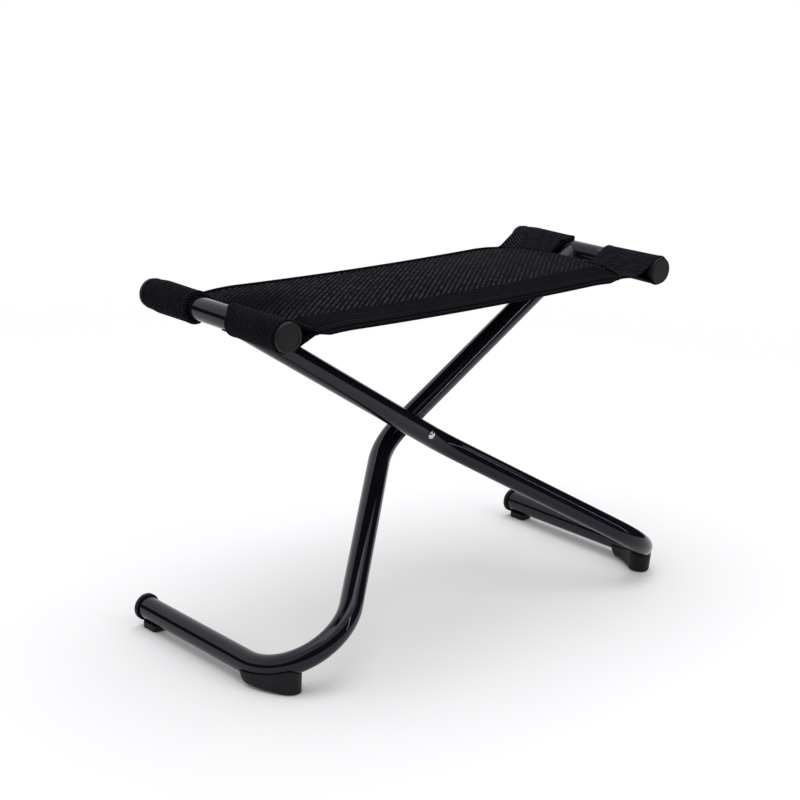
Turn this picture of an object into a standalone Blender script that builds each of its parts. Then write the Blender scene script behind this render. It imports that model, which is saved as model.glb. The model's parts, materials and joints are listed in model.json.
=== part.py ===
"""Folding camp stool.

Two bent-tube frames cross on one rivet, and a padded mesh seat is slung between their top bars on
four corner sleeves. X runs from seat bar A to seat bar B, Y along the bars from the near side to the
far side, and Z up from the floor. All sizes are in metres.
"""

from dataclasses import dataclass
from math import acos, atan2, cos, hypot, pi, radians, sin, tan

import bmesh
import bpy
from mathutils import Matrix, Vector

# Layout of the two frames
BAR_SPAN = 0.493
BAR_HEIGHT = 0.3265
PIVOT_HEIGHT = 0.1755
LEG_GAP = 0.0104
FOOT_SPAN = 0.512
FOOT_BAR_LIFT = 0.0063

# Tubes
TUBE_DIAMETER = 0.022
TUBE_WALL = 0.0015
BAR_LENGTH = 0.190
KNEE_DROP = 0.030
KNEE_RADIUS = 0.084
BEND_REACH = 0.180
BEND_RADIUS = 0.060
FOOT_BAR_REACH = 0.0917
TUBE_SIDES = 24
KNEE_STEPS = 8
BEND_STEPS = 16

# Gap kept between pieces that touch or turn on each other
FIT = 0.0003

# End caps of the seat bars and of the foot bars
CAP_LIP = 0.0026
CAP_THICKNESS = 0.005
CAP_CHAMFER = 0.0008
CAP_RIM_WIDTH = 0.0018
CAP_RIM_HEIGHT = 0.0004
PLUG_LENGTH = 0.018
PLUG_RIBS = 3
PLUG_RIB_DEPTH = 0.0006
FOOT_CAP_LIP = 0.0022
FOOT_CAP_THICKNESS = 0.0045
CAP_SIDES = 24

# Pad moulded under each foot cap
FAR_PAD_LENGTH = 0.025
FAR_PAD_WIDTH = 0.016
FAR_PAD_CORNER = 0.004
FAR_PAD_RISE = 0.0025

# Saddle foot under each wide bend
NEAR_FOOT_TAIL = 0.006
NEAR_FOOT_ARC = 0.044
NEAR_FOOT_WALL = 0.0014
NEAR_FOOT_DRAFT = 0.0012
NEAR_FOOT_RIM_DROP = 0.0034
NEAR_FOOT_SOLE_CHAMFER = 0.0014
NEAR_FOOT_STATIONS = 7
NEAR_FOOT_NOSE_STEPS = 5
NEAR_FOOT_NOSE_TURN = radians(82)

# Screw through each saddle foot into the tube
SCREW_DIAMETER = 0.0034
SCREW_HEAD_DIAMETER = 0.0068
SCREW_HEAD_HEIGHT = 0.0021
SCREW_HEAD_CHAMFER = 0.0007
SCREW_TIP_DIAMETER = 0.0012
SCREW_SEAT_HEIGHT = 0.0036
SCREW_LENGTH = 0.011
SCREW_PLACE = 0.008
SCREW_SIDES = 16

# Pivot
RIVET_DIAMETER = 0.005
RIVET_HEAD_DIAMETER = 0.0084
RIVET_HEAD_HEIGHT = 0.0022
RIVET_SIDES = 20
RIVET_DOME_STEPS = 4
SPACER_DIAMETER = 0.015
WASHER_DIAMETER = 0.012
WASHER_THICKNESS = 0.001

# Seat panel
BAR_BARE_END = 0.008
PANEL_CORNER_SETBACK = 0.019
PANEL_CORNER_WIDTH = 0.040
PANEL_CORNER_CURVE = 1.5
PANEL_MID_THICKNESS = 0.011
PANEL_EDGE_THICKNESS = 0.0052
PANEL_END_THICKNESS = 0.0038
PANEL_END_TAPER = 0.018
SEAT_DROP = 0.003
SEAT_SAG = 0.0035
PANEL_RINGS = 11
PANEL_COLUMNS = 14

# Bound long edges of the panel
BINDING_THICKNESS = 0.0009
BINDING_LAP = 0.012
BINDING_LAP_STEPS = 3

# Corner sleeves
SLEEVE_LENGTH = 0.0165
SLEEVE_LEG_CLEARANCE = 0.0008
SLEEVE_THICKNESS = 0.0034
SLEEVE_TAIL_THICKNESS = 0.0066
SLEEVE_SEAM = 0.008
SLEEVE_SEAM_OPENING = 0.0008
SLEEVE_STEPS = 20
SLEEVE_CORNER_STEPS = 4

# Values that follow from the sizes above
TUBE_RADIUS = TUBE_DIAMETER / 2
LEG_SPACING = LEG_GAP + TUBE_DIAMETER
FOOT_AXIS_HEIGHT = FOOT_BAR_LIFT + TUBE_RADIUS
PLUG_RADIUS = TUBE_RADIUS - TUBE_WALL - FIT
CAP_RADIUS = TUBE_RADIUS + CAP_LIP
FOOT_CAP_RADIUS = TUBE_RADIUS + FOOT_CAP_LIP
NEAR_FOOT_TOP_WIDTH = TUBE_DIAMETER + 2 * NEAR_FOOT_WALL
NEAR_FOOT_SOLE_WIDTH = NEAR_FOOT_TOP_WIDTH - 2 * NEAR_FOOT_DRAFT
SEAT_WIDTH = BAR_LENGTH - 2 * BAR_BARE_END
PANEL_REACH = BAR_SPAN / 2 - TUBE_RADIUS - SLEEVE_LENGTH
PANEL_HALF_WIDTH = SEAT_WIDTH / 2 - BINDING_THICKNESS - FIT
SLEEVE_START = LEG_SPACING / 2 + TUBE_RADIUS + SLEEVE_LEG_CLEARANCE

# Tolerances of the mesh
WELD_DISTANCE = 1e-5
SHARP_ANGLE = radians(36)


@dataclass(frozen=True)
class Frame:
    """One bent-tube frame: its letter, the side of its seat bar in X, and its leg's plane in Y."""

    letter: str
    side: int
    plane: float


FRAME_A = Frame("a", -1, -LEG_SPACING / 2)
FRAME_B = Frame("b", 1, LEG_SPACING / 2)
FRAMES = (FRAME_A, FRAME_B)

# The two ends of a bar: the name and the sign of Y
BAR_ENDS = (("near", -1), ("far", 1))


def clear_scene():
    """Remove whatever the opened scene holds."""
    for old in list(bpy.data.objects):
        bpy.data.objects.remove(old)


def add_collection(name):
    """Return a new collection linked to the scene."""
    collection = bpy.data.collections.new(name)
    bpy.context.scene.collection.children.link(collection)
    return collection


def make_material(name, colour, roughness, metallic=0.0):
    """Return a Principled material of one colour."""
    material = bpy.data.materials.new(name)
    material.use_nodes = True
    shader = material.node_tree.nodes["Principled BSDF"]
    shader.inputs["Base Color"].default_value = (*colour, 1.0)
    shader.inputs["Roughness"].default_value = roughness
    shader.inputs["Metallic"].default_value = metallic
    return material


def bend_at(before, corner, after, radius, share):
    """Return the point at a share of the arc that rounds one corner of a tube's route."""
    inward = (corner - before).normalized()
    outward = (after - corner).normalized()
    angle = inward.angle(outward)
    start = corner - inward * radius * tan(angle / 2)
    towards_centre = (outward - inward * cos(angle)).normalized()
    turn = angle * share
    return start + inward * radius * sin(turn) + towards_centre * radius * (1 - cos(turn))


def bend_angle(before, corner, after):
    """Return the angle that a tube's route turns through at a corner."""
    return (corner - before).angle(after - corner)


def leg_corners(frame):
    """Return the sharp route of a leg tube: bar axis, knee, foot corner and far end."""
    top = Vector((frame.side * BAR_SPAN / 2, frame.plane, BAR_HEIGHT))
    pivot = Vector((0, frame.plane, PIVOT_HEIGHT))
    knee = pivot + (pivot - top).normalized() * KNEE_DROP
    foot_x = -frame.side * FOOT_SPAN / 2
    corner = Vector((foot_x, -BEND_REACH, FOOT_AXIS_HEIGHT))
    end = Vector((foot_x, FOOT_BAR_REACH, FOOT_AXIS_HEIGHT))
    return top, knee, corner, end


def leg_route(frame):
    """Return the axis of a leg tube with its knee and its wide bend rounded."""
    top, knee, corner, end = leg_corners(frame)
    knee_arc = [bend_at(top, knee, corner, KNEE_RADIUS, i / KNEE_STEPS) for i in range(KNEE_STEPS + 1)]
    wide_arc = [bend_at(knee, corner, end, BEND_RADIUS, i / BEND_STEPS) for i in range(BEND_STEPS + 1)]
    return [top, *knee_arc, *wide_arc, end]


def weld(mesh):
    """Merge the coincident points of a mesh and turn its faces outwards."""
    shape = bmesh.new()
    shape.from_mesh(mesh)
    bmesh.ops.remove_doubles(shape, verts=shape.verts, dist=WELD_DISTANCE)
    bmesh.ops.recalc_face_normals(shape, faces=shape.faces)
    shape.to_mesh(mesh)
    shape.free()


def mesh_from_curve(name, curve):
    """Return the welded mesh of a curve, which is removed."""
    holder = bpy.data.objects.new(name, curve)
    bpy.context.scene.collection.objects.link(holder)
    depsgraph = bpy.context.evaluated_depsgraph_get()
    mesh = bpy.data.meshes.new_from_object(holder.evaluated_get(depsgraph))
    bpy.data.objects.remove(holder)
    bpy.data.curves.remove(curve)
    mesh.name = name
    weld(mesh)
    return mesh


def tube_mesh(name, route, radius):
    """Return a solid round bar along a route, with flat ends."""
    curve = bpy.data.curves.new(name, "CURVE")
    curve.dimensions = "3D"
    spline = curve.splines.new("POLY")
    spline.points.add(len(route) - 1)
    for point, place in zip(spline.points, route):
        point.co = (*place, 1)
    curve.bevel_depth = radius
    curve.bevel_resolution = (TUBE_SIDES - 4) // 2
    curve.use_fill_caps = True
    return mesh_from_curve(name, curve)


def plate_mesh(name, outline, thickness):
    """Return a flat outline in XY made solid, centred on Z = 0."""
    curve = bpy.data.curves.new(name, "CURVE")
    curve.dimensions = "2D"
    curve.fill_mode = "BOTH"
    curve.extrude = thickness / 2
    spline = curve.splines.new("POLY")
    spline.use_cyclic_u = True
    spline.points.add(len(outline) - 1)
    for point, place in zip(spline.points, outline):
        point.co = (*place, 0, 1)
    return mesh_from_curve(name, curve)


def cylinder_mesh(name, radius, start, end, sides):
    """Return a solid cylinder between two points."""
    axis = end - start
    turn = Vector((0, 0, 1)).rotation_difference(axis).to_matrix().to_4x4()
    place = Matrix.Translation((start + end) / 2) @ turn
    shape = bmesh.new()
    bmesh.ops.create_cone(
        shape, cap_ends=True, segments=sides, radius1=radius, radius2=radius, depth=axis.length, matrix=place
    )
    mesh = bpy.data.meshes.new(name)
    shape.to_mesh(mesh)
    shape.free()
    return mesh


def loft_mesh(name, rings):
    """Return the solid skinned over rings of equal count, closed by a face at each end."""
    shape = bmesh.new()
    loops = [[shape.verts.new(point) for point in ring] for ring in rings]
    count = len(rings[0])
    for first, second in zip(loops, loops[1:]):
        for i in range(count):
            j = (i + 1) % count
            shape.faces.new((first[i], first[j], second[j], second[i]))
    shape.faces.new(loops[0])
    shape.faces.new(loops[-1])
    bmesh.ops.recalc_face_normals(shape, faces=shape.faces)
    mesh = bpy.data.meshes.new(name)
    shape.to_mesh(mesh)
    shape.free()
    return mesh


def shell_mesh(name, outer_rings, inner_rings):
    """Return the solid between an outer and an inner loft, open through both ends."""
    shape = bmesh.new()
    outer = [[shape.verts.new(point) for point in ring] for ring in outer_rings]
    inner = [[shape.verts.new(point) for point in ring] for ring in inner_rings]
    count = len(outer_rings[0])
    for i in range(count):
        j = (i + 1) % count
        for skin in (outer, inner):
            for first, second in zip(skin, skin[1:]):
                shape.faces.new((first[i], first[j], second[j], second[i]))
        for end in (0, -1):
            shape.faces.new((outer[end][i], outer[end][j], inner[end][j], inner[end][i]))
    bmesh.ops.recalc_face_normals(shape, faces=shape.faces)
    mesh = bpy.data.meshes.new(name)
    shape.to_mesh(mesh)
    shape.free()
    return mesh


def profile_mesh(name, profile, closed):
    """Return a line of (radius, height) points in the XZ plane, to be turned about Z."""
    mesh = bpy.data.meshes.new(name)
    count = len(profile)
    edges = [(i, i + 1) for i in range(count - 1)]
    if closed:
        edges.append((count - 1, 0))
    mesh.from_pydata([(radius, 0, height) for radius, height in profile], edges, [])
    return mesh


class Workshop:
    """Holds the collections, the bodies' empties and the materials, and places pieces in them."""

    def __init__(self):
        clear_scene()
        self.parts = add_collection("camp_stool")
        self.cutters = add_collection("cutters")
        self.paint = make_material("black_paint", (0.012, 0.011, 0.016), 0.16)
        self.plastic = make_material("charcoal_plastic", (0.022, 0.022, 0.024), 0.5)
        self.steel = make_material("zinc_steel", (0.62, 0.62, 0.64), 0.3, 1.0)
        self.nylon = make_material("black_nylon", (0.015, 0.015, 0.016), 0.45)
        self.mesh_fabric = make_material("black_mesh", (0.012, 0.012, 0.015), 0.8)
        self.webbing = make_material("black_webbing", (0.009, 0.009, 0.011), 0.85)
        self.root = self.add_empty("stool", Vector((0, footprint_shift(), 0)), None)
        pivot = Vector((0, 0, PIVOT_HEIGHT))
        crease = Vector((0, 0, crease_height()))
        bar_a = Vector((-BAR_SPAN / 2, 0, BAR_HEIGHT))
        self.frames = {
            "a": self.add_empty("frame_a", pivot, self.root),
            "b": self.add_empty("frame_b", pivot, self.root),
        }
        self.seat_halves = {
            "a": self.add_empty("seat_half_a", bar_a, self.root),
            "b": self.add_empty("seat_half_b", crease, self.root),
        }

    def add_empty(self, name, place, parent):
        """Return an empty that carries the pieces of one body."""
        empty = bpy.data.objects.new(name, None)
        empty.location = place
        empty.parent = parent
        self.parts.objects.link(empty)
        return empty

    def add_part(self, name, mesh, body, material, place=Vector(), turn=(0, 0, 0)):
        """Return a piece of one body, placed from the middle of the legs on the floor."""
        part = bpy.data.objects.new(name, mesh)
        part.parent = body
        part.location = place - body.location
        part.rotation_euler = turn
        mesh.materials.append(material)
        mesh.shade_smooth()
        mesh.set_sharp_from_angle(angle=SHARP_ANGLE)
        self.parts.objects.link(part)
        return part

    def add_turned(self, name, profile, body, material, place, turn, sides, closed=False):
        """Return a piece turned about its own Z axis."""
        part = self.add_part(name, profile_mesh(name, profile, closed), body, material, place, turn)
        screw = part.modifiers.new("turn", "SCREW")
        screw.axis = "Z"
        screw.angle = 2 * pi
        screw.steps = sides
        screw.render_steps = sides
        screw.use_merge_vertices = True
        screw.merge_threshold = WELD_DISTANCE
        return part

    def add_tool(self, name, mesh):
        """Return a hidden solid that cuts other pieces or is joined to one."""
        tool = bpy.data.objects.new(name, mesh)
        tool.parent = self.root
        tool.hide_render = True
        tool.display_type = "WIRE"
        self.cutters.objects.link(tool)
        return tool


def combine(part, tool, operation="DIFFERENCE"):
    """Cut a tool from a part, or join it to the part."""
    boolean = part.modifiers.new(tool.name, "BOOLEAN")
    boolean.operation = operation
    boolean.object = tool
    boolean.solver = "EXACT"


def footprint_shift():
    """Return how far the legs' middle plane lies from the middle of the stool's depth."""
    near = min(point.y for frame in FRAMES for point in leg_route(frame)) - TUBE_RADIUS
    far = max(BAR_LENGTH / 2 + CAP_THICKNESS, FOOT_BAR_REACH + FOOT_CAP_THICKNESS)
    return -(near + far) / 2


def plug_profile(length):
    """Return the ribbed outer side of a plug, from its shoulder down to its tip."""
    pitch = length / (PLUG_RIBS + 1)
    points = [(PLUG_RADIUS, 0)]
    for i in range(1, PLUG_RIBS + 1):
        points.append((PLUG_RADIUS, -i * pitch))
        points.append((PLUG_RADIUS - PLUG_RIB_DEPTH, -i * pitch))
        points.append((PLUG_RADIUS, -(i + 0.5) * pitch))
    points.append((PLUG_RADIUS - PLUG_RIB_DEPTH, -length))
    points.append((0, -length))
    return points


def cap_profile(radius, thickness):
    """Return a flanged end cap with a raised rim on its face, from the face down to the plug's tip."""
    face = thickness - CAP_RIM_HEIGHT
    rim = radius - CAP_CHAMFER
    return [
        (0, face),
        (rim - CAP_RIM_WIDTH, face),
        (rim - CAP_RIM_WIDTH + CAP_RIM_HEIGHT, thickness),
        (rim, thickness),
        (radius, thickness - CAP_CHAMFER),
        (radius, 0),
        *plug_profile(PLUG_LENGTH),
    ]


def foot_stations(frame):
    """Return the tube axis over the saddle foot, from the foot bar up into the wide bend."""
    _, knee, corner, end = leg_corners(frame)
    arc_length = BEND_RADIUS * bend_angle(knee, corner, end)
    bend_end = bend_at(knee, corner, end, BEND_RADIUS, 1)
    stations = [bend_end + Vector((0, NEAR_FOOT_TAIL, 0))]
    for i in range(NEAR_FOOT_STATIONS):
        along = NEAR_FOOT_ARC * i / (NEAR_FOOT_STATIONS - 1)
        stations.append(bend_at(knee, corner, end, BEND_RADIUS, 1 - along / arc_length))
    return stations


def foot_ring(axis_point, across, place, share):
    """Return one section of a saddle foot: a drafted block from the floor to beside the tube."""
    sole = NEAR_FOOT_SOLE_WIDTH / 2 * share
    top = NEAR_FOOT_TOP_WIDTH / 2 * share
    chamfer = NEAR_FOOT_SOLE_CHAMFER
    rim = axis_point.z - NEAR_FOOT_RIM_DROP
    outline = [
        (-sole + chamfer * share, 0),
        (sole - chamfer * share, 0),
        (sole, chamfer),
        (top, rim),
        (-top, rim),
        (-sole, chamfer),
    ]
    return [Vector((place.x + across.x * u, place.y + across.y * u, v)) for u, v in outline]


def near_foot_mesh(name, frame):
    """Return a saddle foot as a loft along the bend, with a round nose, before its saddle is cut."""
    stations = foot_stations(frame)
    rings = []
    last_step = None
    for i, point in enumerate(stations):
        before = stations[max(i - 1, 0)]
        after = stations[min(i + 1, len(stations) - 1)]
        step = Vector((after.x - before.x, after.y - before.y, 0)).normalized()
        across = Vector((-step.y, step.x, 0))
        rings.append(foot_ring(point, across, point, 1))
        last_step = step
    nose = stations[-1]
    across = Vector((-last_step.y, last_step.x, 0))
    for i in range(1, NEAR_FOOT_NOSE_STEPS + 1):
        turn = NEAR_FOOT_NOSE_TURN * i / NEAR_FOOT_NOSE_STEPS
        place = nose + last_step * NEAR_FOOT_SOLE_WIDTH / 2 * sin(turn)
        rings.append(foot_ring(nose, across, place, cos(turn)))
    return loft_mesh(name, rings)


def screw_place(frame):
    """Return the tube axis above the screw of a saddle foot."""
    _, knee, corner, end = leg_corners(frame)
    arc_length = BEND_RADIUS * bend_angle(knee, corner, end)
    return bend_at(knee, corner, end, BEND_RADIUS, 1 - SCREW_PLACE / arc_length)


def rounded_outline(length, width, corner, steps=4):
    """Return a rectangle in XY with rounded corners, centred on the origin."""
    centres = (
        (width / 2 - corner, length / 2 - corner, 0),
        (corner - width / 2, length / 2 - corner, pi / 2),
        (corner - width / 2, corner - length / 2, pi),
        (width / 2 - corner, corner - length / 2, 3 * pi / 2),
    )
    outline = []
    for x, y, first in centres:
        for i in range(steps + 1):
            angle = first + pi / 2 * i / steps
            outline.append((x + corner * cos(angle), y + corner * sin(angle)))
    return outline


def build_frame(shop, frame):
    """Build one frame: leg tube, seat bar, caps and feet."""
    body = shop.frames[frame.letter]
    letter = frame.letter
    route = leg_route(frame)
    leg = shop.add_part(f"leg_tube_{letter}", tube_mesh("leg_tube", route, TUBE_RADIUS), body, shop.paint)
    around_leg = shop.add_tool(f"around_leg_{letter}", tube_mesh("around_leg", route, TUBE_RADIUS + FIT))

    bar_x = frame.side * BAR_SPAN / 2
    bar_ends = [Vector((bar_x, sign * BAR_LENGTH / 2, BAR_HEIGHT)) for _, sign in BAR_ENDS]
    cope = cylinder_mesh("cope", TUBE_RADIUS + FIT, *bar_ends, TUBE_SIDES)
    combine(leg, shop.add_tool(f"cope_{letter}", cope))
    build_bar(shop, frame, body)
    build_near_foot(shop, frame, body, leg, around_leg)
    build_far_foot(shop, frame, body, leg, around_leg)
    return leg


def build_bar(shop, frame, body):
    """Build a seat bar, an open tube with a cap in each end."""
    outer = TUBE_RADIUS
    inner = TUBE_RADIUS - TUBE_WALL
    half = BAR_LENGTH / 2
    wall = [(outer, half), (outer, -half), (inner, -half), (inner, half)]
    middle = Vector((frame.side * BAR_SPAN / 2, 0, BAR_HEIGHT))
    name = f"top_bar_{frame.letter}"
    shop.add_turned(name, wall, body, shop.paint, middle, (pi / 2, 0, 0), TUBE_SIDES, closed=True)
    for end, sign in BAR_ENDS:
        face = middle + Vector((0, sign * (half + FIT), 0))
        profile = cap_profile(CAP_RADIUS, CAP_THICKNESS - FIT)
        turn = (-sign * pi / 2, 0, 0)
        shop.add_turned(
            f"top_cap_{frame.letter}_{end}", profile, body, shop.plastic, face, turn, CAP_SIDES
        )


def build_near_foot(shop, frame, body, leg, around_leg):
    """Build the saddle foot under the wide bend, and its screw."""
    letter = frame.letter
    name = f"near_foot_{letter}"
    foot = shop.add_part(name, near_foot_mesh(name, frame), body, shop.plastic)
    combine(foot, around_leg)
    axis = screw_place(frame)
    floor = Vector((axis.x, axis.y, 0))
    seat = floor + Vector((0, 0, SCREW_SEAT_HEIGHT))
    tip = seat + Vector((0, 0, SCREW_LENGTH))
    below = floor - Vector((0, 0, SCREW_SEAT_HEIGHT))
    head_well = cylinder_mesh("head_well", SCREW_HEAD_DIAMETER / 2 + FIT, below, seat, SCREW_SIDES)
    combine(foot, shop.add_tool(f"head_well_{letter}", head_well))
    shank_end = tip + Vector((0, 0, FIT))
    shank_hole = cylinder_mesh("shank_hole", SCREW_DIAMETER / 2 + FIT, floor, shank_end, SCREW_SIDES)
    shank_tool = shop.add_tool(f"shank_hole_{letter}", shank_hole)
    combine(foot, shank_tool)
    combine(leg, shank_tool)
    head = SCREW_HEAD_DIAMETER / 2
    shank = SCREW_DIAMETER / 2
    profile = [
        (0, SCREW_LENGTH),
        (SCREW_TIP_DIAMETER / 2, SCREW_LENGTH),
        (shank, SCREW_LENGTH - shank),
        (shank, -FIT),
        (head, -FIT),
        (head, SCREW_HEAD_CHAMFER - SCREW_HEAD_HEIGHT),
        (head - SCREW_HEAD_CHAMFER, -SCREW_HEAD_HEIGHT),
        (0, -SCREW_HEAD_HEIGHT),
    ]
    shop.add_turned(
        f"near_foot_screw_{letter}", profile, body, shop.steel, seat, (0, 0, 0), SCREW_SIDES
    )


def build_far_foot(shop, frame, body, leg, around_leg):
    """Build the foot cap with its pad, and the socket in the tube that its plug fills."""
    letter = frame.letter
    end = leg_corners(frame)[-1]
    socket_floor = end - Vector((0, PLUG_LENGTH + FIT, 0))
    mouth = end + Vector((0, PLUG_LENGTH, 0))
    socket = cylinder_mesh("socket", TUBE_RADIUS - TUBE_WALL, socket_floor, mouth, CAP_SIDES)
    combine(leg, shop.add_tool(f"socket_{letter}", socket))
    face = end + Vector((0, FIT, 0))
    profile = cap_profile(FOOT_CAP_RADIUS, FOOT_CAP_THICKNESS - FIT)
    cap = shop.add_turned(
        f"far_foot_{letter}", profile, body, shop.plastic, face, (-pi / 2, 0, 0), CAP_SIDES
    )
    height = FOOT_AXIS_HEIGHT - FOOT_CAP_RADIUS + FAR_PAD_RISE
    outline = rounded_outline(FAR_PAD_LENGTH, FAR_PAD_WIDTH, FAR_PAD_CORNER)
    pad_mesh = plate_mesh("far_pad", outline, height)
    pad_mesh.transform(
        Matrix.Translation((end.x, end.y + FOOT_CAP_THICKNESS - FAR_PAD_LENGTH / 2, height / 2))
    )
    pad = shop.add_tool(f"far_pad_{letter}", pad_mesh)
    combine(pad, around_leg)
    combine(cap, pad, "UNION")


def build_pivot(shop, legs):
    """Build the rivet, the spacer between the legs and the washer under the rivet's formed end."""
    body = shop.frames["a"]
    near_face = FRAME_A.plane - TUBE_RADIUS - FIT
    far_face = FRAME_B.plane + TUBE_RADIUS + FIT
    washer_face = far_face + WASHER_THICKNESS
    centre = Vector((0, 0, PIVOT_HEIGHT))
    bore = RIVET_DIAMETER / 2 + FIT
    reach = Vector((0, washer_face, 0))
    hole = cylinder_mesh("pivot_hole", bore, centre - reach, centre + reach, RIVET_SIDES)
    hole_tool = shop.add_tool("pivot_hole", hole)
    for leg in legs:
        combine(leg, hole_tool)

    head = RIVET_HEAD_DIAMETER / 2
    shank = RIVET_DIAMETER / 2
    angles = [pi / 2 * i / RIVET_DOME_STEPS for i in range(RIVET_DOME_STEPS + 1)]
    dome = [(head * sin(angle), RIVET_HEAD_HEIGHT * cos(angle)) for angle in angles]
    near_end = -near_face
    far_end = -(washer_face + FIT)
    profile = [(radius, near_end + height) for radius, height in dome]
    profile += [(shank, near_end), (shank, far_end)]
    profile += [(radius, far_end - height) for radius, height in reversed(dome)]
    shop.add_turned("pivot_rivet", profile, body, shop.steel, centre, (pi / 2, 0, 0), RIVET_SIDES)

    inner_gap = LEG_SPACING / 2 - TUBE_RADIUS - FIT
    spacer_ring = SPACER_DIAMETER / 2
    saddle = -FRAME_A.plane
    spacer_wall = [(spacer_ring, saddle), (spacer_ring, -inner_gap), (bore, -inner_gap), (bore, saddle)]
    spacer = shop.add_turned(
        "pivot_spacer", spacer_wall, body, shop.nylon, centre, (pi / 2, 0, 0), CAP_SIDES, closed=True
    )
    combine(spacer, shop.cutters.objects["around_leg_a"])

    ring = WASHER_DIAMETER / 2
    washer_wall = [(ring, -far_face), (ring, -washer_face), (bore, -washer_face), (bore, -far_face)]
    shop.add_turned(
        "pivot_washer", washer_wall, body, shop.steel, centre, (pi / 2, 0, 0), RIVET_SIDES, closed=True
    )


def seat_height(x):
    """Return the height of the seat's middle surface, which sags towards the crease."""
    return BAR_HEIGHT - SEAT_DROP - SEAT_SAG * (1 - (x / PANEL_REACH) ** 2)


def crease_height():
    """Return the height of the axis that the seat folds on, under the bound edge of the panel."""
    return seat_height(0) - PANEL_MID_THICKNESS / 2 - BINDING_THICKNESS - FIT


def panel_reach(y):
    """Return how far the panel runs from the crease, less towards its corners."""
    into_corner = max(0, abs(y) - (SEAT_WIDTH / 2 - PANEL_CORNER_WIDTH)) / PANEL_CORNER_WIDTH
    return PANEL_REACH - PANEL_CORNER_SETBACK * min(into_corner, 1) ** PANEL_CORNER_CURVE


def half_thickness(y):
    """Return half the panel's thickness, which swells from its long edges to its middle."""
    swell = 1 - (y / PANEL_HALF_WIDTH) ** 2
    return (PANEL_EDGE_THICKNESS + (PANEL_MID_THICKNESS - PANEL_EDGE_THICKNESS) * swell) / 2


def sole_depth(x, y):
    """Return how far the panel's underside lies below its top, less over the leg near its end."""
    full = 2 * half_thickness(y)
    from_end = min((panel_reach(y) - x) / PANEL_END_TAPER, 1)
    end = full * PANEL_END_THICKNESS / PANEL_MID_THICKNESS
    return end + (full - end) * from_end


def build_panel(shop, frame):
    """Build half of the padded panel, from the crease to the seat bar's sleeves."""
    shape = bmesh.new()
    columns = [
        PANEL_HALF_WIDTH * sin(pi / 2 * (2 * i / PANEL_COLUMNS - 1)) for i in range(PANEL_COLUMNS + 1)
    ]
    tops = []
    soles = []
    for i in range(PANEL_RINGS + 1):
        along = i / PANEL_RINGS
        top = []
        sole = []
        for y in columns:
            x = FIT / 2 + (panel_reach(y) - FIT / 2) * along
            height = seat_height(x) + half_thickness(y)
            top.append(shape.verts.new((frame.side * x, y, height)))
            sole.append(shape.verts.new((frame.side * x, y, height - sole_depth(x, y))))
        tops.append(top)
        soles.append(sole)
    last = len(columns) - 1
    for i in range(PANEL_RINGS):
        for j in range(last):
            for skin in (tops, soles):
                shape.faces.new((skin[i][j], skin[i][j + 1], skin[i + 1][j + 1], skin[i + 1][j]))
        for j in (0, last):
            shape.faces.new((tops[i][j], tops[i + 1][j], soles[i + 1][j], soles[i][j]))
    for i in (0, PANEL_RINGS):
        for j in range(last):
            shape.faces.new((tops[i][j], tops[i][j + 1], soles[i][j + 1], soles[i][j]))
    bmesh.ops.recalc_face_normals(shape, faces=shape.faces)
    mesh = bpy.data.meshes.new(f"seat_panel_{frame.letter}")
    shape.to_mesh(mesh)
    shape.free()
    shop.add_part(mesh.name, mesh, shop.seat_halves[frame.letter], shop.mesh_fabric)


def binding_ring(x, side, sign):
    """Return one section of an edge binding: a folded tape round the panel's edge."""
    middle = seat_height(x)
    laps = [PANEL_HALF_WIDTH - BINDING_LAP * i / BINDING_LAP_STEPS for i in range(BINDING_LAP_STEPS, -1, -1)]
    lift = FIT + BINDING_THICKNESS
    edge = PANEL_HALF_WIDTH + lift
    corner = half_thickness(PANEL_HALF_WIDTH) + lift
    round_off = BINDING_THICKNESS
    outer = [(y, half_thickness(y) + lift) for y in laps[:-1]]
    outer += [(edge - round_off, corner), (edge, corner - round_off)]
    outer += [(y, -z) for y, z in reversed(outer)]
    inner = [(y, half_thickness(y) + FIT) for y in laps[:-1]]
    inner.append((PANEL_HALF_WIDTH + FIT, half_thickness(PANEL_HALF_WIDTH) + FIT))
    inner += [(y, -z) for y, z in reversed(inner)]
    outline = outer + inner[::-1]
    return [Vector((side * x, sign * y, middle + z)) for y, z in outline]


def build_bindings(shop, frame):
    """Build the bound edges of one panel half."""
    for end, sign in BAR_ENDS:
        reach = panel_reach(SEAT_WIDTH / 2)
        places = [FIT / 2 + (reach - FIT / 2) * i / PANEL_RINGS for i in range(PANEL_RINGS + 1)]
        name = f"seat_binding_{frame.letter}_{end}"
        mesh = loft_mesh(name, [binding_ring(x, frame.side, sign) for x in places])
        shop.add_part(name, mesh, shop.seat_halves[frame.letter], shop.webbing)


def teardrop(radius, tail, drop, tail_thickness):
    """Return a loop round the seat bar whose two runs close on the panel's end.

    Points are (distance from the bar's axis towards the seat's middle, height above that axis), from
    the tail's upper corner over the bar and under it to the tail's lower corner.
    """
    upper = (tail, tail_thickness / 2 - drop)
    lower = (tail, -tail_thickness / 2 - drop)
    first = atan2(upper[1], upper[0]) + acos(radius / hypot(*upper))
    last = 2 * pi + atan2(lower[1], lower[0]) - acos(radius / hypot(*lower))
    loop = [upper]
    for i in range(SLEEVE_STEPS + 1):
        angle = first + (last - first) * i / SLEEVE_STEPS
        loop.append((radius * cos(angle), radius * sin(angle)))
    loop.append(lower)
    return loop


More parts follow.
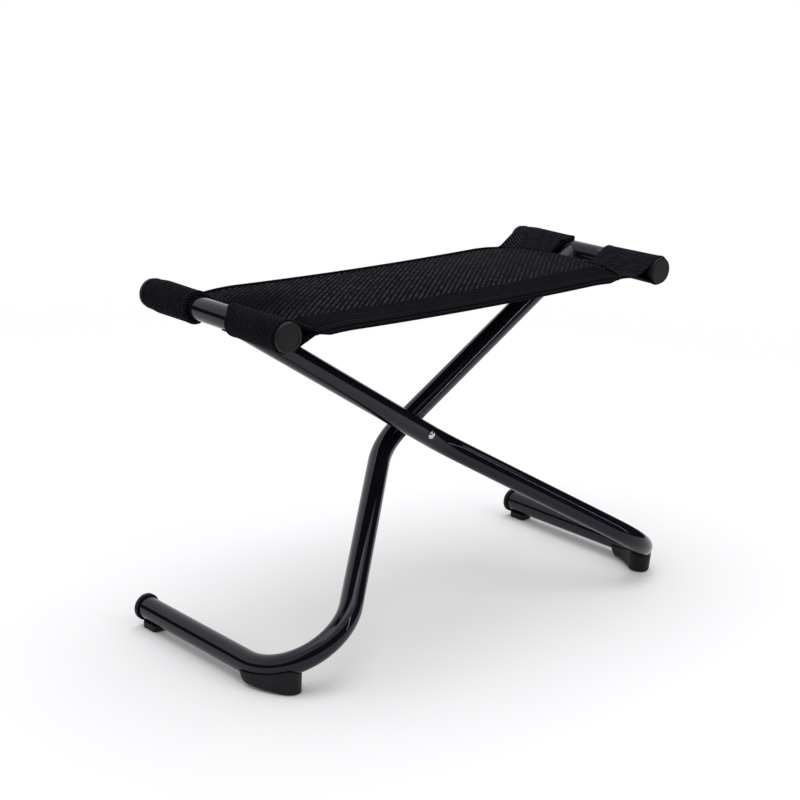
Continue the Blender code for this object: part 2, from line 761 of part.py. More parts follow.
def build_sleeves(shop, frame):
    """Build the two corner sleeves that carry one end of the seat on its bar."""
    inner_radius = TUBE_RADIUS + FIT
    outer_radius = inner_radius + SLEEVE_THICKNESS
    corner = SEAT_WIDTH / 2 - PANEL_CORNER_WIDTH
    step = PANEL_CORNER_WIDTH / SLEEVE_CORNER_STEPS
    widths = [SLEEVE_START] + [corner + step * i for i in range(SLEEVE_CORNER_STEPS + 1)]
    for end, sign in BAR_ENDS:
        outer_rings = []
        inner_rings = []
        for y in widths:
            reach = panel_reach(y) + FIT
            tail = BAR_SPAN / 2 - reach
            drop = BAR_HEIGHT - seat_height(reach)
            outer = teardrop(outer_radius, tail, drop, SLEEVE_TAIL_THICKNESS)
            inner = teardrop(inner_radius, tail - SLEEVE_SEAM, drop, SLEEVE_SEAM_OPENING)
            for loop, rings in ((outer, outer_rings), (inner, inner_rings)):
                rings.append(
                    [
                        Vector((frame.side * (BAR_SPAN / 2 - u), sign * y, BAR_HEIGHT + v))
                        for u, v in loop
                    ]
                )
        name = f"seat_sleeve_{frame.letter}_{end}"
        mesh = shell_mesh(name, outer_rings, inner_rings)
        shop.add_part(name, mesh, shop.seat_halves[frame.letter], shop.webbing)


def main():
    """Build the stool."""
    shop = Workshop()
    legs = [build_frame(shop, frame) for frame in FRAMES]
    build_pivot(shop, legs)
    for frame in FRAMES:
        build_panel(shop, frame)
        build_bindings(shop, frame)
        build_sleeves(shop, frame)


main()
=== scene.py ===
"""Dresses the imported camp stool: gloss tubes, moulded feet and a padded seat of ribbed mesh cloth.

All sizes are in metres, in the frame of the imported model: X runs from seat bar A to seat bar B, Y along
the bars from the near side to the far side, and Z up from the floor.
"""

import json
import logging
from collections.abc import Callable, Iterator, Sequence
from contextlib import contextmanager
from dataclasses import dataclass, field, replace
from enum import Enum
from math import acos, atan2, ceil, cos, dist, floor, hypot, pi, radians, sin, sqrt, tan
from typing import Any

import bmesh
import bpy
from mathutils import Matrix, Vector


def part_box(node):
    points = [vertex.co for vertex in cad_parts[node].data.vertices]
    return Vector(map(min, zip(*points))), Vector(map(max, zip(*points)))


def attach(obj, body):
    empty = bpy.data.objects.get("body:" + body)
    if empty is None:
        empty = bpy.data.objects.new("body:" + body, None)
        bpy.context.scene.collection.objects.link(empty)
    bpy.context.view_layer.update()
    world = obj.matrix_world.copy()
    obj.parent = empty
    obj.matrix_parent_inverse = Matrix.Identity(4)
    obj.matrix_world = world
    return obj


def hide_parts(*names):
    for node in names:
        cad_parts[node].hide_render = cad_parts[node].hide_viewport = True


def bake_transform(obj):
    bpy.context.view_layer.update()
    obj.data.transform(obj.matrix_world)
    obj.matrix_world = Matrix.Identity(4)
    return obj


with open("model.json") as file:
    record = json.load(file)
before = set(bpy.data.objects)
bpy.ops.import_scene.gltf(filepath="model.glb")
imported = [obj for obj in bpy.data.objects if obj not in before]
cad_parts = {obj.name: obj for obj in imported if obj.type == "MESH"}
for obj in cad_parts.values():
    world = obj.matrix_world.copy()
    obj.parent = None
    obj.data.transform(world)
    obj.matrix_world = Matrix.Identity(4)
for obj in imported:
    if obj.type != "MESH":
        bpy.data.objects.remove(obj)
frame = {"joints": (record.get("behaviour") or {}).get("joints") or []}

LOG = logging.getLogger("camp_stool")
MERGE_DISTANCE = 1e-6
SMOOTH_ANGLE = radians(38)
TUBE_SIDES = 64
LEG_OFFSET = 0.0162
FIT = 0.0003
FOLD_HALF = 0.020
RING_STEP = 0.001
FACING = 0.9
FLAT_ON = 0.99
SAME_PLACE = 1e-5
LAP_POINTS = 6
ALONG_BAR = (pi / 2, 0, 0)
UP = Vector((0, 0, 1))
WHITE = (1.0, 1.0, 1.0, 1.0)

Piece = bpy.types.Object
Rows = Sequence[Sequence[Vector]]
Colour = tuple[float, ...]
Pair = tuple[float, float]
Place = tuple[float, float, float]
Cut = tuple[float, float, float, float]
Stance = tuple[Vector, Vector, Vector]


class Body(Enum):
    """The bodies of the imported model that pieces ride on."""

    FRAME_A = "frame_a"
    FRAME_B = "frame_b"
    SEAT_A = "seat_half_a"
    SEAT_B = "seat_half_b"


class Slot(Enum):
    """The record's material slots."""

    PAINT = "black_paint"
    PLASTIC = "charcoal_plastic"
    STEEL = "zinc_steel"
    NYLON = "black_nylon"
    MESH = "black_mesh"
    WEBBING = "black_webbing"


class Edge(Enum):
    """The two long sides of the stool, by the sign of Y."""

    NEAR = -1
    FAR = 1

    @property
    def word(self) -> str:
        """Return the name that pieces on this side carry."""
        return self.name.lower()


def smooth_step(value: float, low: float, high: float) -> float:
    """Return 0 below low, 1 above high and a soft rise between.

    Args:
        value: The number to place.
        low: Where the rise starts.
        high: Where the rise ends.

    Returns:
        A share from 0 to 1.
    """
    share = min(max((value - low) / (high - low), 0.0), 1.0)
    return share * share * (3 - 2 * share)


def mix(first: float, second: float, share: float) -> float:
    """Return the number at a share of the way from first to second."""
    return first + (second - first) * share


def spread(start: float, end: float, step: float) -> list[float]:
    """Return even places from start to end, no further apart than step."""
    count = max(1, ceil(abs(end - start) / step - 1e-9))
    return [start + (end - start) * i / count for i in range(count + 1)]


def even(start: float, end: float, count: int) -> list[float]:
    """Return count even places from start to end."""
    return [mix(start, end, i / (count - 1)) for i in range(count)]


def quarter(count: int) -> list[Pair]:
    """Return the sine and cosine at each of count steps through a quarter turn."""
    return [(sin(pi / 2 * i / count), cos(pi / 2 * i / count)) for i in range(count + 1)]


def mirrored(half: list[Pair]) -> list[Pair]:
    """Return a closed outline from its half on one side of the upright."""
    return half + [(-u, v) for u, v in reversed(half[1:-1])]


def lengths(points: Sequence[Sequence[float]]) -> list[float]:
    """Measure a line of points.

    Args:
        points: The points in order.

    Returns:
        The distance of each point from the first, along the line.
    """
    total = [0.0]
    for before, after in zip(points, points[1:]):
        total.append(total[-1] + dist(before, after))
    return total


class Socket:
    """An output of a shader node that takes part in Python arithmetic."""

    def __init__(self, graph: "Graph", end: bpy.types.NodeSocket) -> None:
        """Wrap one output socket of a graph."""
        self.graph = graph
        self.end = end

    def _math(self, operation: str, *values: Any) -> "Socket":
        """Add a Math node.

        Args:
            operation: The Math node's operation.
            values: Its operands, numbers or sockets.

        Returns:
            The node's result.
        """
        inputs = dict(enumerate(values))
        return self.graph.node("ShaderNodeMath", {"operation": operation}, inputs)[0]

    def __add__(self, other: Any) -> "Socket":
        """Return self + other."""
        return self._math("ADD", self, other)

    __radd__ = __add__

    def __sub__(self, other: Any) -> "Socket":
        """Return self - other."""
        return self._math("SUBTRACT", self, other)

    def __rsub__(self, other: Any) -> "Socket":
        """Return other - self."""
        return self._math("SUBTRACT", other, self)

    def __mul__(self, other: Any) -> "Socket":
        """Return self * other."""
        return self._math("MULTIPLY", self, other)

    def __truediv__(self, other: Any) -> "Socket":
        """Return self / other."""
        return self._math("DIVIDE", self, other)

    def __pow__(self, other: Any) -> "Socket":
        """Return self ** other."""
        return self._math("POWER", self, other)

    def __abs__(self) -> "Socket":
        """Return the absolute value."""
        return self._math("ABSOLUTE", self)

    def sine(self) -> "Socket":
        """Return the sine."""
        return self._math("SINE", self)

    def fraction(self) -> "Socket":
        """Return the part after the decimal point."""
        return self._math("FRACT", self)

    def whole(self) -> "Socket":
        """Return the next whole number below."""
        return self._math("FLOOR", self)

    def highest(self, other: Any) -> "Socket":
        """Return the greater of self and other."""
        return self._math("MAXIMUM", self, other)

    def wave(self) -> "Socket":
        """Return a wave from 0 to 1 with one crest for each whole step of the value."""
        return (self * (2 * pi)).sine() * 0.5 + 0.5

    def rise(self, low: float, high: float) -> "Socket":
        """Add a soft rise.

        Args:
            low: Where it is still 0.
            high: Where it has come to 1.

        Returns:
            The rise.
        """
        settings = {"interpolation_type": "SMOOTHSTEP"}
        inputs = {"Value": self, "From Min": low, "From Max": high}
        return self.graph.node("ShaderNodeMapRange", settings, inputs)[0]


class Made:
    """A node that was just added, which gives its outputs as sockets."""

    def __init__(self, graph: "Graph", node: bpy.types.Node) -> None:
        """Wrap one node of a graph."""
        self.graph = graph
        self.node = node

    def __getitem__(self, output: str | int) -> Socket:
        """Return one output by its name or number."""
        return Socket(self.graph, self.node.outputs[output])


class Graph:
    """The nodes of one material or world."""

    def __init__(self, owner: bpy.types.Material | bpy.types.World) -> None:
        """Empty the owner's node tree and keep it.

        Args:
            owner: The material or world.
        """
        owner.use_nodes = True
        self.tree = owner.node_tree
        self.tree.nodes.clear()

    def node(
        self, kind: str, settings: dict[str, Any] | None = None, inputs: dict[Any, Any] | None = None
    ) -> Made:
        """Add a node.

        Args:
            kind: The node's type.
            settings: Attributes that are set first; stops gives a ramp's places and colours.
            inputs: Values or links of its sockets, by name or number.

        Returns:
            The node, which gives its outputs.
        """
        made = self.tree.nodes.new(kind)
        for key, value in (settings or {}).items():
            if key == "stops":
                elements = made.color_ramp.elements
                while len(elements) < len(value):
                    elements.new(0.5)
                for element, (place, colour) in zip(elements, value):
                    element.position = place
                    element.color = (*colour, 1.0)
            else:
                setattr(made, key, value)
        for key, value in (inputs or {}).items():
            if isinstance(value, Socket):
                self.tree.links.new(value.end, made.inputs[key])
            else:
                made.inputs[key].default_value = value
        return Made(self, made)

    def place(self) -> Socket:
        """Return the Object coordinates."""
        return self.node("ShaderNodeTexCoord")["Object"]

    def uv(self) -> Socket:
        """Return the UV coordinates."""
        return self.node("ShaderNodeTexCoord")["UV"]

    def cloth_place(self) -> tuple[Socket, Socket]:
        """Return the two distances along a cloth, in metres, from its UV map."""
        split = self.node("ShaderNodeSeparateXYZ", None, {"Vector": self.uv()})
        return split["X"], split["Y"]

    def seen(self) -> Socket:
        """Return 1 on the rays that show a surface: from the camera, in a gloss or through glass."""
        path = self.node("ShaderNodeLightPath")
        return path["Is Camera Ray"].highest(path["Is Glossy Ray"]).highest(path["Is Transmission Ray"])

    def noise(self, vector: Socket, size: float, detail: float = 2.0, roughness: float = 0.5) -> Socket:
        """Add a noise.

        Args:
            vector: Where it is read.
            size: The size of its blotches, in metres.
            detail: Its finer layers.
            roughness: How strong those layers are.

        Returns:
            A value from 0 to 1.
        """
        inputs = {"Vector": vector, "Scale": 1 / size, "Detail": detail, "Roughness": roughness}
        return self.node("ShaderNodeTexNoise", {"noise_dimensions": "3D"}, inputs)["Fac"]

    def tint(self, share: Socket, low: Colour | Socket, high: Colour) -> Socket:
        """Mix two colours.

        Args:
            share: The share of the second colour.
            low: The first colour, which may be a mix itself.
            high: The second colour.

        Returns:
            The mixed colour.
        """
        settings = {"data_type": "RGBA", "blend_type": "MIX"}
        first = low if isinstance(low, Socket) else (*low, 1.0)
        inputs = {"Factor": share, 6: first, 7: (*high, 1.0)}
        return self.node("ShaderNodeMix", settings, inputs)[2]

    def bump(self, height: Socket, depth: float, below: Socket | None = None) -> Socket:
        """Turn a height from 0 to 1 into a surface normal.

        Args:
            height: The height.
            depth: What 1 stands for, in metres.
            below: A normal that this one adds to.

        Returns:
            The normal.
        """
        inputs = {"Strength": 1.0, "Distance": depth, "Height": height}
        if below is not None:
            inputs["Normal"] = below
        return self.node("ShaderNodeBump", None, inputs)["Normal"]

    def surface(
        self, colour: Socket, roughness: Socket, normal: Socket, more: dict[str, Any] | None = None
    ) -> None:
        """Add the Principled shader and the output.

        Args:
            colour: The base colour.
            roughness: The roughness.
            normal: The surface normal.
            more: Other inputs, by name.
        """
        inputs = {"Base Color": colour, "Roughness": roughness, "Normal": normal}
        shader = self.node("ShaderNodeBsdfPrincipled", None, inputs | (more or {}))
        self.node("ShaderNodeOutputMaterial", None, {"Surface": shader["BSDF"]})


class Finish:
    """A finish that makes its material once."""

    name = "finish"

    def dress(self, graph: Graph) -> None:
        """Build the material's nodes.

        Args:
            graph: The material's empty node tree.
        """
        raise NotImplementedError

    def material(self) -> bpy.types.Material:
        """Make the material at the first call.

        Returns:
            The material.
        """
        made = bpy.data.materials.get(self.name)
        if made is None:
            made = bpy.data.materials.new(self.name)
            self.dress(Graph(made))
        return made


@dataclass(frozen=True)
class GlossPaint(Finish):
    """Stove enamel on tube: glossy near-black with orange peel, dust and scuffs near the floor."""

    name: str = "gloss_black_enamel"
    deep: Colour = (0.0034, 0.0031, 0.0056)
    hazy: Colour = (0.0062, 0.0058, 0.0092)
    scuffed: Colour = (0.03, 0.029, 0.03)
    haze: float = 0.035
    speck: float = 0.0011
    streak: float = 0.004
    peel: float = 0.0022
    peel_depth: float = 0.0000035
    scuff_height: float = 0.03
    gloss: float = 1.39
    cool: Colour = (0.88, 0.84, 1.0)

    def dress(self, graph: Graph) -> None:
        """Build the material's nodes.

        Args:
            graph: The material's empty node tree.
        """
        place = graph.place()
        haze = graph.noise(place, self.haze, 3.0)
        specks = graph.noise(place, self.speck, 1.0).rise(0.71, 0.78)
        streaks = graph.noise(place, self.streak, 4.0, 0.7).rise(0.62, 0.74)
        height = graph.node("ShaderNodeSeparateXYZ", None, {"Vector": place})["Z"]
        scuffs = streaks * (1 - height.rise(self.scuff_height * 0.3, self.scuff_height)) * 0.5
        colour = graph.tint(scuffs, graph.tint(haze, self.deep, self.hazy), self.scuffed)
        roughness = 0.055 + haze * 0.035 + specks * 0.12 + scuffs * 0.3
        peel = graph.noise(place, self.peel, 1.0)
        normal = graph.bump(peel, self.peel_depth)
        more = {"IOR": self.gloss, "Specular Tint": (*self.cool, 1.0)}
        graph.surface(colour, roughness, normal, more)


@dataclass(frozen=True)
class MouldedPlastic(Finish):
    """Moulded charcoal plastic: fine spark-erosion grain, satin, a little dusty."""

    name: str = "moulded_charcoal"
    dark: Colour = (0.0072, 0.0069, 0.0086)
    light: Colour = (0.0106, 0.0102, 0.0122)
    dusty: Colour = (0.017, 0.0163, 0.0172)
    cloud: float = 0.011
    dust: float = 0.0032
    grain: float = 0.00042
    grain_depth: float = 0.00004

    def dress(self, graph: Graph) -> None:
        """Build the material's nodes.

        Args:
            graph: The material's empty node tree.
        """
        place = graph.place()
        grain = graph.noise(place, self.grain, 2.0, 0.6)
        cloud = graph.noise(place, self.cloud, 3.0)
        dust = graph.noise(place, self.dust, 4.0, 0.65).rise(0.55, 0.75)
        colour = graph.tint(dust * 0.45, graph.tint(cloud, self.dark, self.light), self.dusty)
        roughness = 0.42 + cloud * 0.1 + dust * 0.12
        normal = graph.bump(grain, self.grain_depth)
        more = {"Specular IOR Level": 0.16}
        graph.surface(colour, roughness, normal, more)


@dataclass(frozen=True)
class ZincSteel(Finish):
    """Bright zinc plate: fine turning marks and a faint cloudy bloom."""

    name: str = "bright_zinc"
    bright: Colour = (0.70, 0.70, 0.72)
    dull: Colour = (0.50, 0.51, 0.53)
    bloom: float = 0.0014
    mark: float = 0.00025
    mark_depth: float = 0.00001

    def dress(self, graph: Graph) -> None:
        """Build the material's nodes.

        Args:
            graph: The material's empty node tree.
        """
        place = graph.place()
        bloom = graph.noise(place, self.bloom, 4.0, 0.6)
        stretch = graph.node(
            "ShaderNodeVectorMath", {"operation": "MULTIPLY"}, {0: place, 1: (1.0, 0.1, 1.0)}
        )[0]
        marks = graph.noise(stretch, self.mark, 2.0)
        colour = graph.tint(bloom, self.dull, self.bright)
        roughness = 0.2 + bloom * 0.16
        normal = graph.bump(marks, self.mark_depth)
        more = {"Metallic": 1.0}
        graph.surface(colour, roughness, normal, more)


@dataclass(frozen=True)
class SatinNylon(Finish):
    """Satin nylon of the bush between the legs."""

    name: str = "satin_nylon"
    dark: Colour = (0.012, 0.012, 0.013)
    light: Colour = (0.019, 0.019, 0.02)
    cloud: float = 0.003
    grain: float = 0.0003
    grain_depth: float = 0.00001

    def dress(self, graph: Graph) -> None:
        """Build the material's nodes.

        Args:
            graph: The material's empty node tree.
        """
        place = graph.place()
        cloud = graph.noise(place, self.cloud, 3.0)
        grain = graph.noise(place, self.grain, 1.0)
        colour = graph.tint(cloud, self.dark, self.light)
        roughness = 0.34 + cloud * 0.14
        normal = graph.bump(grain, self.grain_depth)
        graph.surface(colour, roughness, normal)


@dataclass(frozen=True)
class RibbedMesh(Finish):
    """Knitted spacer mesh: slanting ribs of small loops over dark foam, with painted light on the rib
    tops and painted shade in the hollows.
    """

    name: str = "ribbed_mesh_cloth"
    # the hollow colour is dark foam deepened by painted shade; the crest colour is yarn lightened by
    # painted light
    hollow: Colour = (0.001, 0.0009, 0.0014)
    crest: Colour = (0.040, 0.0365, 0.051)
    pitch: float = 0.0047
    slant: float = radians(38.3)
    loop: float = 0.0056
    dash: float = 0.009
    plain: float = 0.22
    fray: float = 0.0007
    patch: float = 0.03
    loop_depth: float = 0.00055
    calm: float = 0.0
    calm_run: Pair = (-0.01, 0.17)
    mean: float = 0.19
    # painted shade at the seat's end by bar A: its strength, middle, size and lean
    dusk: float = 0.0
    dip: Pair = (-0.195, 0.01)
    dip_size: Pair = (0.085, 0.075)
    dip_lean: float = 0.35

    def dress(self, graph: Graph) -> None:
        """Build the material's nodes.

        Args:
            graph: The material's empty node tree.
        """
        along, across = graph.cloth_place()
        step = (along * sin(self.slant) - across * cos(self.slant)) / self.pitch
        run = (along * cos(self.slant) + across * sin(self.slant)) / self.loop
        rib = step.wave()
        chevron = (step * 2).fraction() - 0.5
        loops = (run + abs(chevron) * 0.9 + step.whole() * 0.5).wave()
        uv = graph.uv()
        fray = graph.noise(uv, self.fray, 2.0, 0.7)
        lanes = {"X": run * (self.loop / self.dash), "Y": (step + 0.25).whole() * 7.3}
        stretch = graph.node("ShaderNodeCombineXYZ", None, lanes)["Vector"]
        dashes = graph.noise(stretch, 1.0, 1.0).rise(0.36, 0.62)
        patch = graph.noise(uv, self.patch, 2.0)
        yarn = rib.rise(0.25, 0.85) * (0.6 + loops * 0.4)
        strength = self.plain + dashes * (1 - self.plain)
        lit = yarn * strength * (0.75 + fray * 0.4) * (0.65 + patch * 0.6)
        if self.calm:
            calm = along.rise(*self.calm_run) * self.calm
            lit = lit * (1 - calm) + calm * self.mean
            yarn = yarn * (1 - calm)
        # painted shade: darken the colour in a soft patch at the seat's end by bar A
        if self.dusk:
            lit = lit * self.shade(along, across)
        # colour runs from hollow to crest with the ribs: painted shade in the hollows, painted light on
        # the tops
        colour = graph.tint(lit, self.hollow, self.crest)
        roughness = 0.78 + fray * 0.15
        normal = graph.bump(yarn * 0.85 + fray * 0.15, self.loop_depth)
        more = {"Specular IOR Level": 0.02, "Sheen Weight": 0.002, "Sheen Roughness": 0.4}
        graph.surface(colour, roughness, normal, more)

    def shade(self, along: Socket, across: Socket) -> Socket:
        """Return the share of colour kept under the painted shade, a soft dark patch at the seat's end by
        bar A.

        Args:
            along: The distance along the seat.
            across: The distance across it.

        Returns:
            A share that rises to 1 outside the painted shade.
        """
        aside = across - self.dip[1]
        ahead = (along - self.dip[0] - aside * self.dip_lean) / self.dip_size[0]
        aside = aside / self.dip_size[1]
        away = (ahead * ahead + aside * aside) ** 0.5
        return away.rise(0.1, 1.05) * self.dusk + (1 - self.dusk)


@dataclass(frozen=True)
class WovenCloth(Finish):
    """Woven polyester: a fine twill with slubs, lint and slight fading."""

    name: str = "woven_black_cloth"
    shade: Colour = (0.0022, 0.0021, 0.003)
    thread: Colour = (0.019, 0.018, 0.023)
    pitch: float = 0.0012
    weft_pitch: float = 0.0012
    slope: float = 0.5
    depth: float = 0.00025
    slub: float = 0.0006
    fade: float = 0.018
    lint: float = 0.0009
    lap: float = 0.0
    lap_edge: float = 0.004
    lap_tone: float = 1.0

    def dress(self, graph: Graph) -> None:
        """Build the material's nodes.

        Args:
            graph: The material's empty node tree.
        """
        along, across = graph.cloth_place()
        warp = along / self.pitch
        weft = across / self.weft_pitch
        twill = (warp + weft * self.slope).wave()
        cross = weft.wave()
        uv = graph.uv()
        slub = graph.noise(uv, self.slub, 2.0, 0.7)
        fade = graph.noise(uv, self.fade, 3.0)
        lint = graph.noise(uv, self.lint, 1.0).rise(0.72, 0.8)
        weave = twill * (0.6 + cross * 0.4)
        lit = weave * (0.6 + slub * 0.5) * (0.75 + fade * 0.5) + lint * 0.25
        if self.lap:
            beyond = along.rise(self.lap - self.lap_edge, self.lap)
            lit = lit * (beyond * (1 - self.lap_tone) + self.lap_tone)
        colour = graph.tint(lit, self.shade, self.thread)
        roughness = 0.8 + slub * 0.12
        normal = graph.bump(weave * 0.8 + slub * 0.2, self.depth)
        more = {"Specular IOR Level": 0.02, "Sheen Weight": 0.002, "Sheen Roughness": 0.5}
        graph.surface(colour, roughness, normal, more)


@dataclass(frozen=True)
class SewingThread(Finish):
    """Bonded sewing thread with its twist."""

    name: str = "sewing_thread"
    dark: Colour = (0.004, 0.0038, 0.005)
    light: Colour = (0.009, 0.0085, 0.011)
    twist: float = 0.0007
    ply_depth: float = 0.00006
    fuzz: float = 0.0004

    def dress(self, graph: Graph) -> None:
        """Build the material's nodes.

        Args:
            graph: The material's empty node tree.
        """
        along, around = graph.cloth_place()
        ply = (along / self.twist + around).wave()
        fuzz = graph.noise(graph.place(), self.fuzz, 2.0)
        colour = graph.tint(ply * (0.7 + fuzz * 0.5), self.dark, self.light)
        roughness = 0.5 + fuzz * 0.2
        normal = graph.bump(ply, self.ply_depth)
        more = {"Specular IOR Level": 0.06}
        graph.surface(colour, roughness, normal, more)


PAINT = GlossPaint()
PLASTIC = MouldedPlastic()
ZINC = ZincSteel()
NYLON = SatinNylon()
# the seat cloth: ribs calmed towards bar B, painted shade at its end by bar A
MESH = RibbedMesh(calm=0.5, dusk=0.9)
FINE_MESH = RibbedMesh(
    name="fine_ribbed_cloth",
    hollow=(0.0022, 0.002, 0.003),
    crest=(0.0205, 0.0188, 0.0265),
    plain=0.5,
    pitch=0.0023,
    slant=radians(58.5),
    loop=0.0034,
    dash=0.007,
    loop_depth=0.0003,
)
# a lighter copy of the sleeve cloth for the sleeves on bar B: painted light, for the stronger light on
# that end
LIT_B_MESH = replace(FINE_MESH, name="worn_ribbed_cloth", crest=(0.0335, 0.031, 0.0425))
CLOTH = WovenCloth()
WEBBING = WovenCloth(
    name="corded_webbing", thread=(0.0155, 0.0145, 0.0195), pitch=0.0034, slope=0.0, depth=0.0005
)
LAP_WEBBING = replace(WEBBING, name="dark_lap_webbing", lap=0.0325, lap_tone=0.22)
THREAD = SewingThread()


class Bench:
    """Blender's modelling operators, applied to one piece at a time."""

    @staticmethod
    def clear() -> None:
        """Leave edit mode and deselect everything."""
        if bpy.context.object is not None and bpy.context.object.mode != "OBJECT":
            bpy.ops.object.mode_set(mode="OBJECT")
        bpy.ops.object.select_all(action="DESELECT")

    @classmethod
    def choose(cls, *pieces: Piece) -> None:
        """Select these pieces alone and make the first one active."""
        cls.clear()
        for piece in pieces:
            piece.select_set(True)
        bpy.context.view_layer.objects.active = pieces[0]

    @classmethod
    def add(cls, operator: Callable, name: str, **settings: Any) -> Piece:
        """Add a primitive with its place in its mesh.

        Args:
            operator: The primitive's operator.
            name: The piece's name.
            settings: The operator's settings.

        Returns:
            The new object, at the origin.
        """
        cls.clear()
        operator(**settings)
        piece = bpy.context.object
        piece.name = name
        piece.data.name = name
        bpy.ops.object.transform_apply(location=True, rotation=True, scale=True)
        return piece

    @classmethod
    def cylinder(
        cls,
        name: str,
        middle: Sequence[float],
        radius: float,
        depth: float,
        rotation: Sequence[float] = ALONG_BAR,
        sides: int = TUBE_SIDES,
    ) -> Piece:
        """Add a cylinder.

        Args:
            name: The piece's name.
            middle: Its middle.
            radius: Its radius.
            depth: Its length.
            rotation: How it is turned from upright.
            sides: Its sides.

        Returns:
            The new object, at the origin.
        """
        operator = bpy.ops.mesh.primitive_cylinder_add
        sizes = {"vertices": sides, "radius": radius, "depth": depth}
        return cls.add(operator, name, location=middle, rotation=rotation, **sizes)

    @staticmethod
    def half_turn(piece: Piece, centre: Vector) -> None:
        """Turn a piece's mesh half round about the upright through a point."""
        there = Matrix.Translation(centre)
        piece.data.transform(there @ Matrix.Rotation(pi, 4, "Z") @ there.inverted())

    @classmethod
    @contextmanager
    def editing(cls, piece: Piece) -> Iterator[None]:
        """Put one piece in edit mode with everything selected, and leave it afterwards.

        Args:
            piece: The piece.

        Yields:
            Nothing, while the piece is in edit mode.
        """
        cls.choose(piece)
        bpy.ops.object.mode_set(mode="EDIT")
        bpy.ops.mesh.select_mode(type="VERT")
        bpy.ops.mesh.select_all(action="SELECT")
        yield
        bpy.ops.object.mode_set(mode="OBJECT")

    @staticmethod
    def pick(piece: Piece, kind: str, test: Callable[[Any], bool]) -> None:
        """Select, in edit mode, the faces or the edges that pass a test.

        Args:
            piece: The piece in edit mode.
            kind: FACE or EDGE.
            test: Says of a face or an edge whether it is wanted.
        """
        bpy.ops.mesh.select_mode(type=kind)
        bpy.ops.mesh.select_all(action="DESELECT")
        shape = bmesh.from_edit_mesh(piece.data)
        for element in shape.faces if kind == "FACE" else shape.edges:
            element.select_set(test(element))
        shape.select_flush_mode()
        bmesh.update_edit_mesh(piece.data)

    @classmethod
    def modify(cls, piece: Piece, kind: str, **settings: Any) -> None:
        """Add a modifier and apply it.

        Args:
            piece: The piece.
            kind: The modifier's type.
            settings: Its settings.
        """
        modifier = piece.modifiers.new(kind.lower(), kind)
        for key, value in settings.items():
            setattr(modifier, key, value)
        cls.choose(piece)
        bpy.ops.object.modifier_apply(modifier=modifier.name)

    @classmethod
    def combine(cls, piece: Piece, tool: Piece, operation: str = "DIFFERENCE") -> None:
        """Cut a tool from a piece or join it to the piece, and remove the tool.

        Args:
            piece: The piece.
            tool: The solid that cuts it or joins it.
            operation: The Boolean operation.
        """
        cls.modify(piece, "BOOLEAN", operation=operation, object=tool, solver="EXACT")
        bpy.data.objects.remove(tool)

    @classmethod
    def close(cls, piece: Piece) -> None:
        """Merge a shape's doubles, close its open ends and turn its faces outwards.

        Args:
            piece: The shape.
        """
        with cls.editing(piece):
            bpy.ops.mesh.remove_doubles(threshold=MERGE_DISTANCE)
            bpy.ops.mesh.select_all(action="DESELECT")
            bpy.ops.mesh.select_non_manifold()
            bpy.ops.mesh.fill_holes(sides=0)
            bpy.ops.mesh.select_all(action="SELECT")
            bpy.ops.mesh.normals_make_consistent(inside=False)

    @classmethod
    def skin(
        cls,
        name: str,
        rows: Rows,
        around: Sequence[float] | None = None,
        along: Sequence[float] | None = None,
    ) -> Piece:
        """Lay a grid over rows of points.

        Args:
            name: The piece's name.
            rows: Rows of equal count.
            around: The distance of each point along its row, for the UV map.
            along: The distance of each row, for the UV map.

        Returns:
            The open sheet, not yet merged.
        """
        count = len(rows[0])
        grid = bpy.ops.mesh.primitive_grid_add
        cuts = {"x_subdivisions": count - 1, "y_subdivisions": len(rows) - 1}
        piece = cls.add(grid, name, size=1, calc_uvs=True, **cuts)
        places = [value for row in rows for point in row for value in point]
        piece.data.vertices.foreach_set("co", places)
        if around is not None and along is not None:
            layer = piece.data.uv_layers.active.data
            for corner, loop in enumerate(piece.data.loops):
                row, column = divmod(loop.vertex_index, count)
                layer[corner].uv = (around[column], along[row])
        piece.data.update()
        return piece

    @classmethod
    def roll(cls, name: str, rings: Rows, along: Sequence[float] | None = None) -> Piece:
        """Skin closed rings and close both ends.

        Args:
            name: The piece's name.
            rings: Rings of equal count.
            along: The distance of each ring, for the UV map.

        Returns:
            A closed solid.
        """
        rows = [[*ring, ring[0]] for ring in rings]
        if along is None:
            along = [i * RING_STEP for i in range(len(rings))]
        piece = cls.skin(name, rows, lengths(rows[0]), along)
        cls.close(piece)
        return piece

    @classmethod
    def turn(
        cls, name: str, profile: Sequence[Pair], middle: Vector, axis: Vector, steps: int = 48
    ) -> Piece:
        """Extrude one point along a profile and spin it about an axis.

        Args:
            name: The piece's name.
            profile: Distances from the axis and along it, from one end to the other.
            middle: Where the axis starts.
            axis: The axis's direction.
            steps: The sides of the turned piece.

        Returns:
            A closed solid.
        """
        piece = cls.add(bpy.ops.mesh.primitive_plane_add, name, size=0.001)
        outward = axis.orthogonal().normalized()
        points = [middle + outward * radius + axis * height for radius, height in profile]
        with cls.editing(piece):
            bpy.ops.mesh.merge(type="CENTER")
            bpy.ops.transform.translate(value=points[0])
            for before, after in zip(points, points[1:]):
                bpy.ops.mesh.extrude_vertices_move(TRANSFORM_OT_translate={"value": after - before})
            bpy.ops.mesh.select_all(action="SELECT")
            bpy.ops.mesh.spin(steps=steps, angle=2 * pi, center=middle, axis=axis)
        cls.close(piece)
        return piece

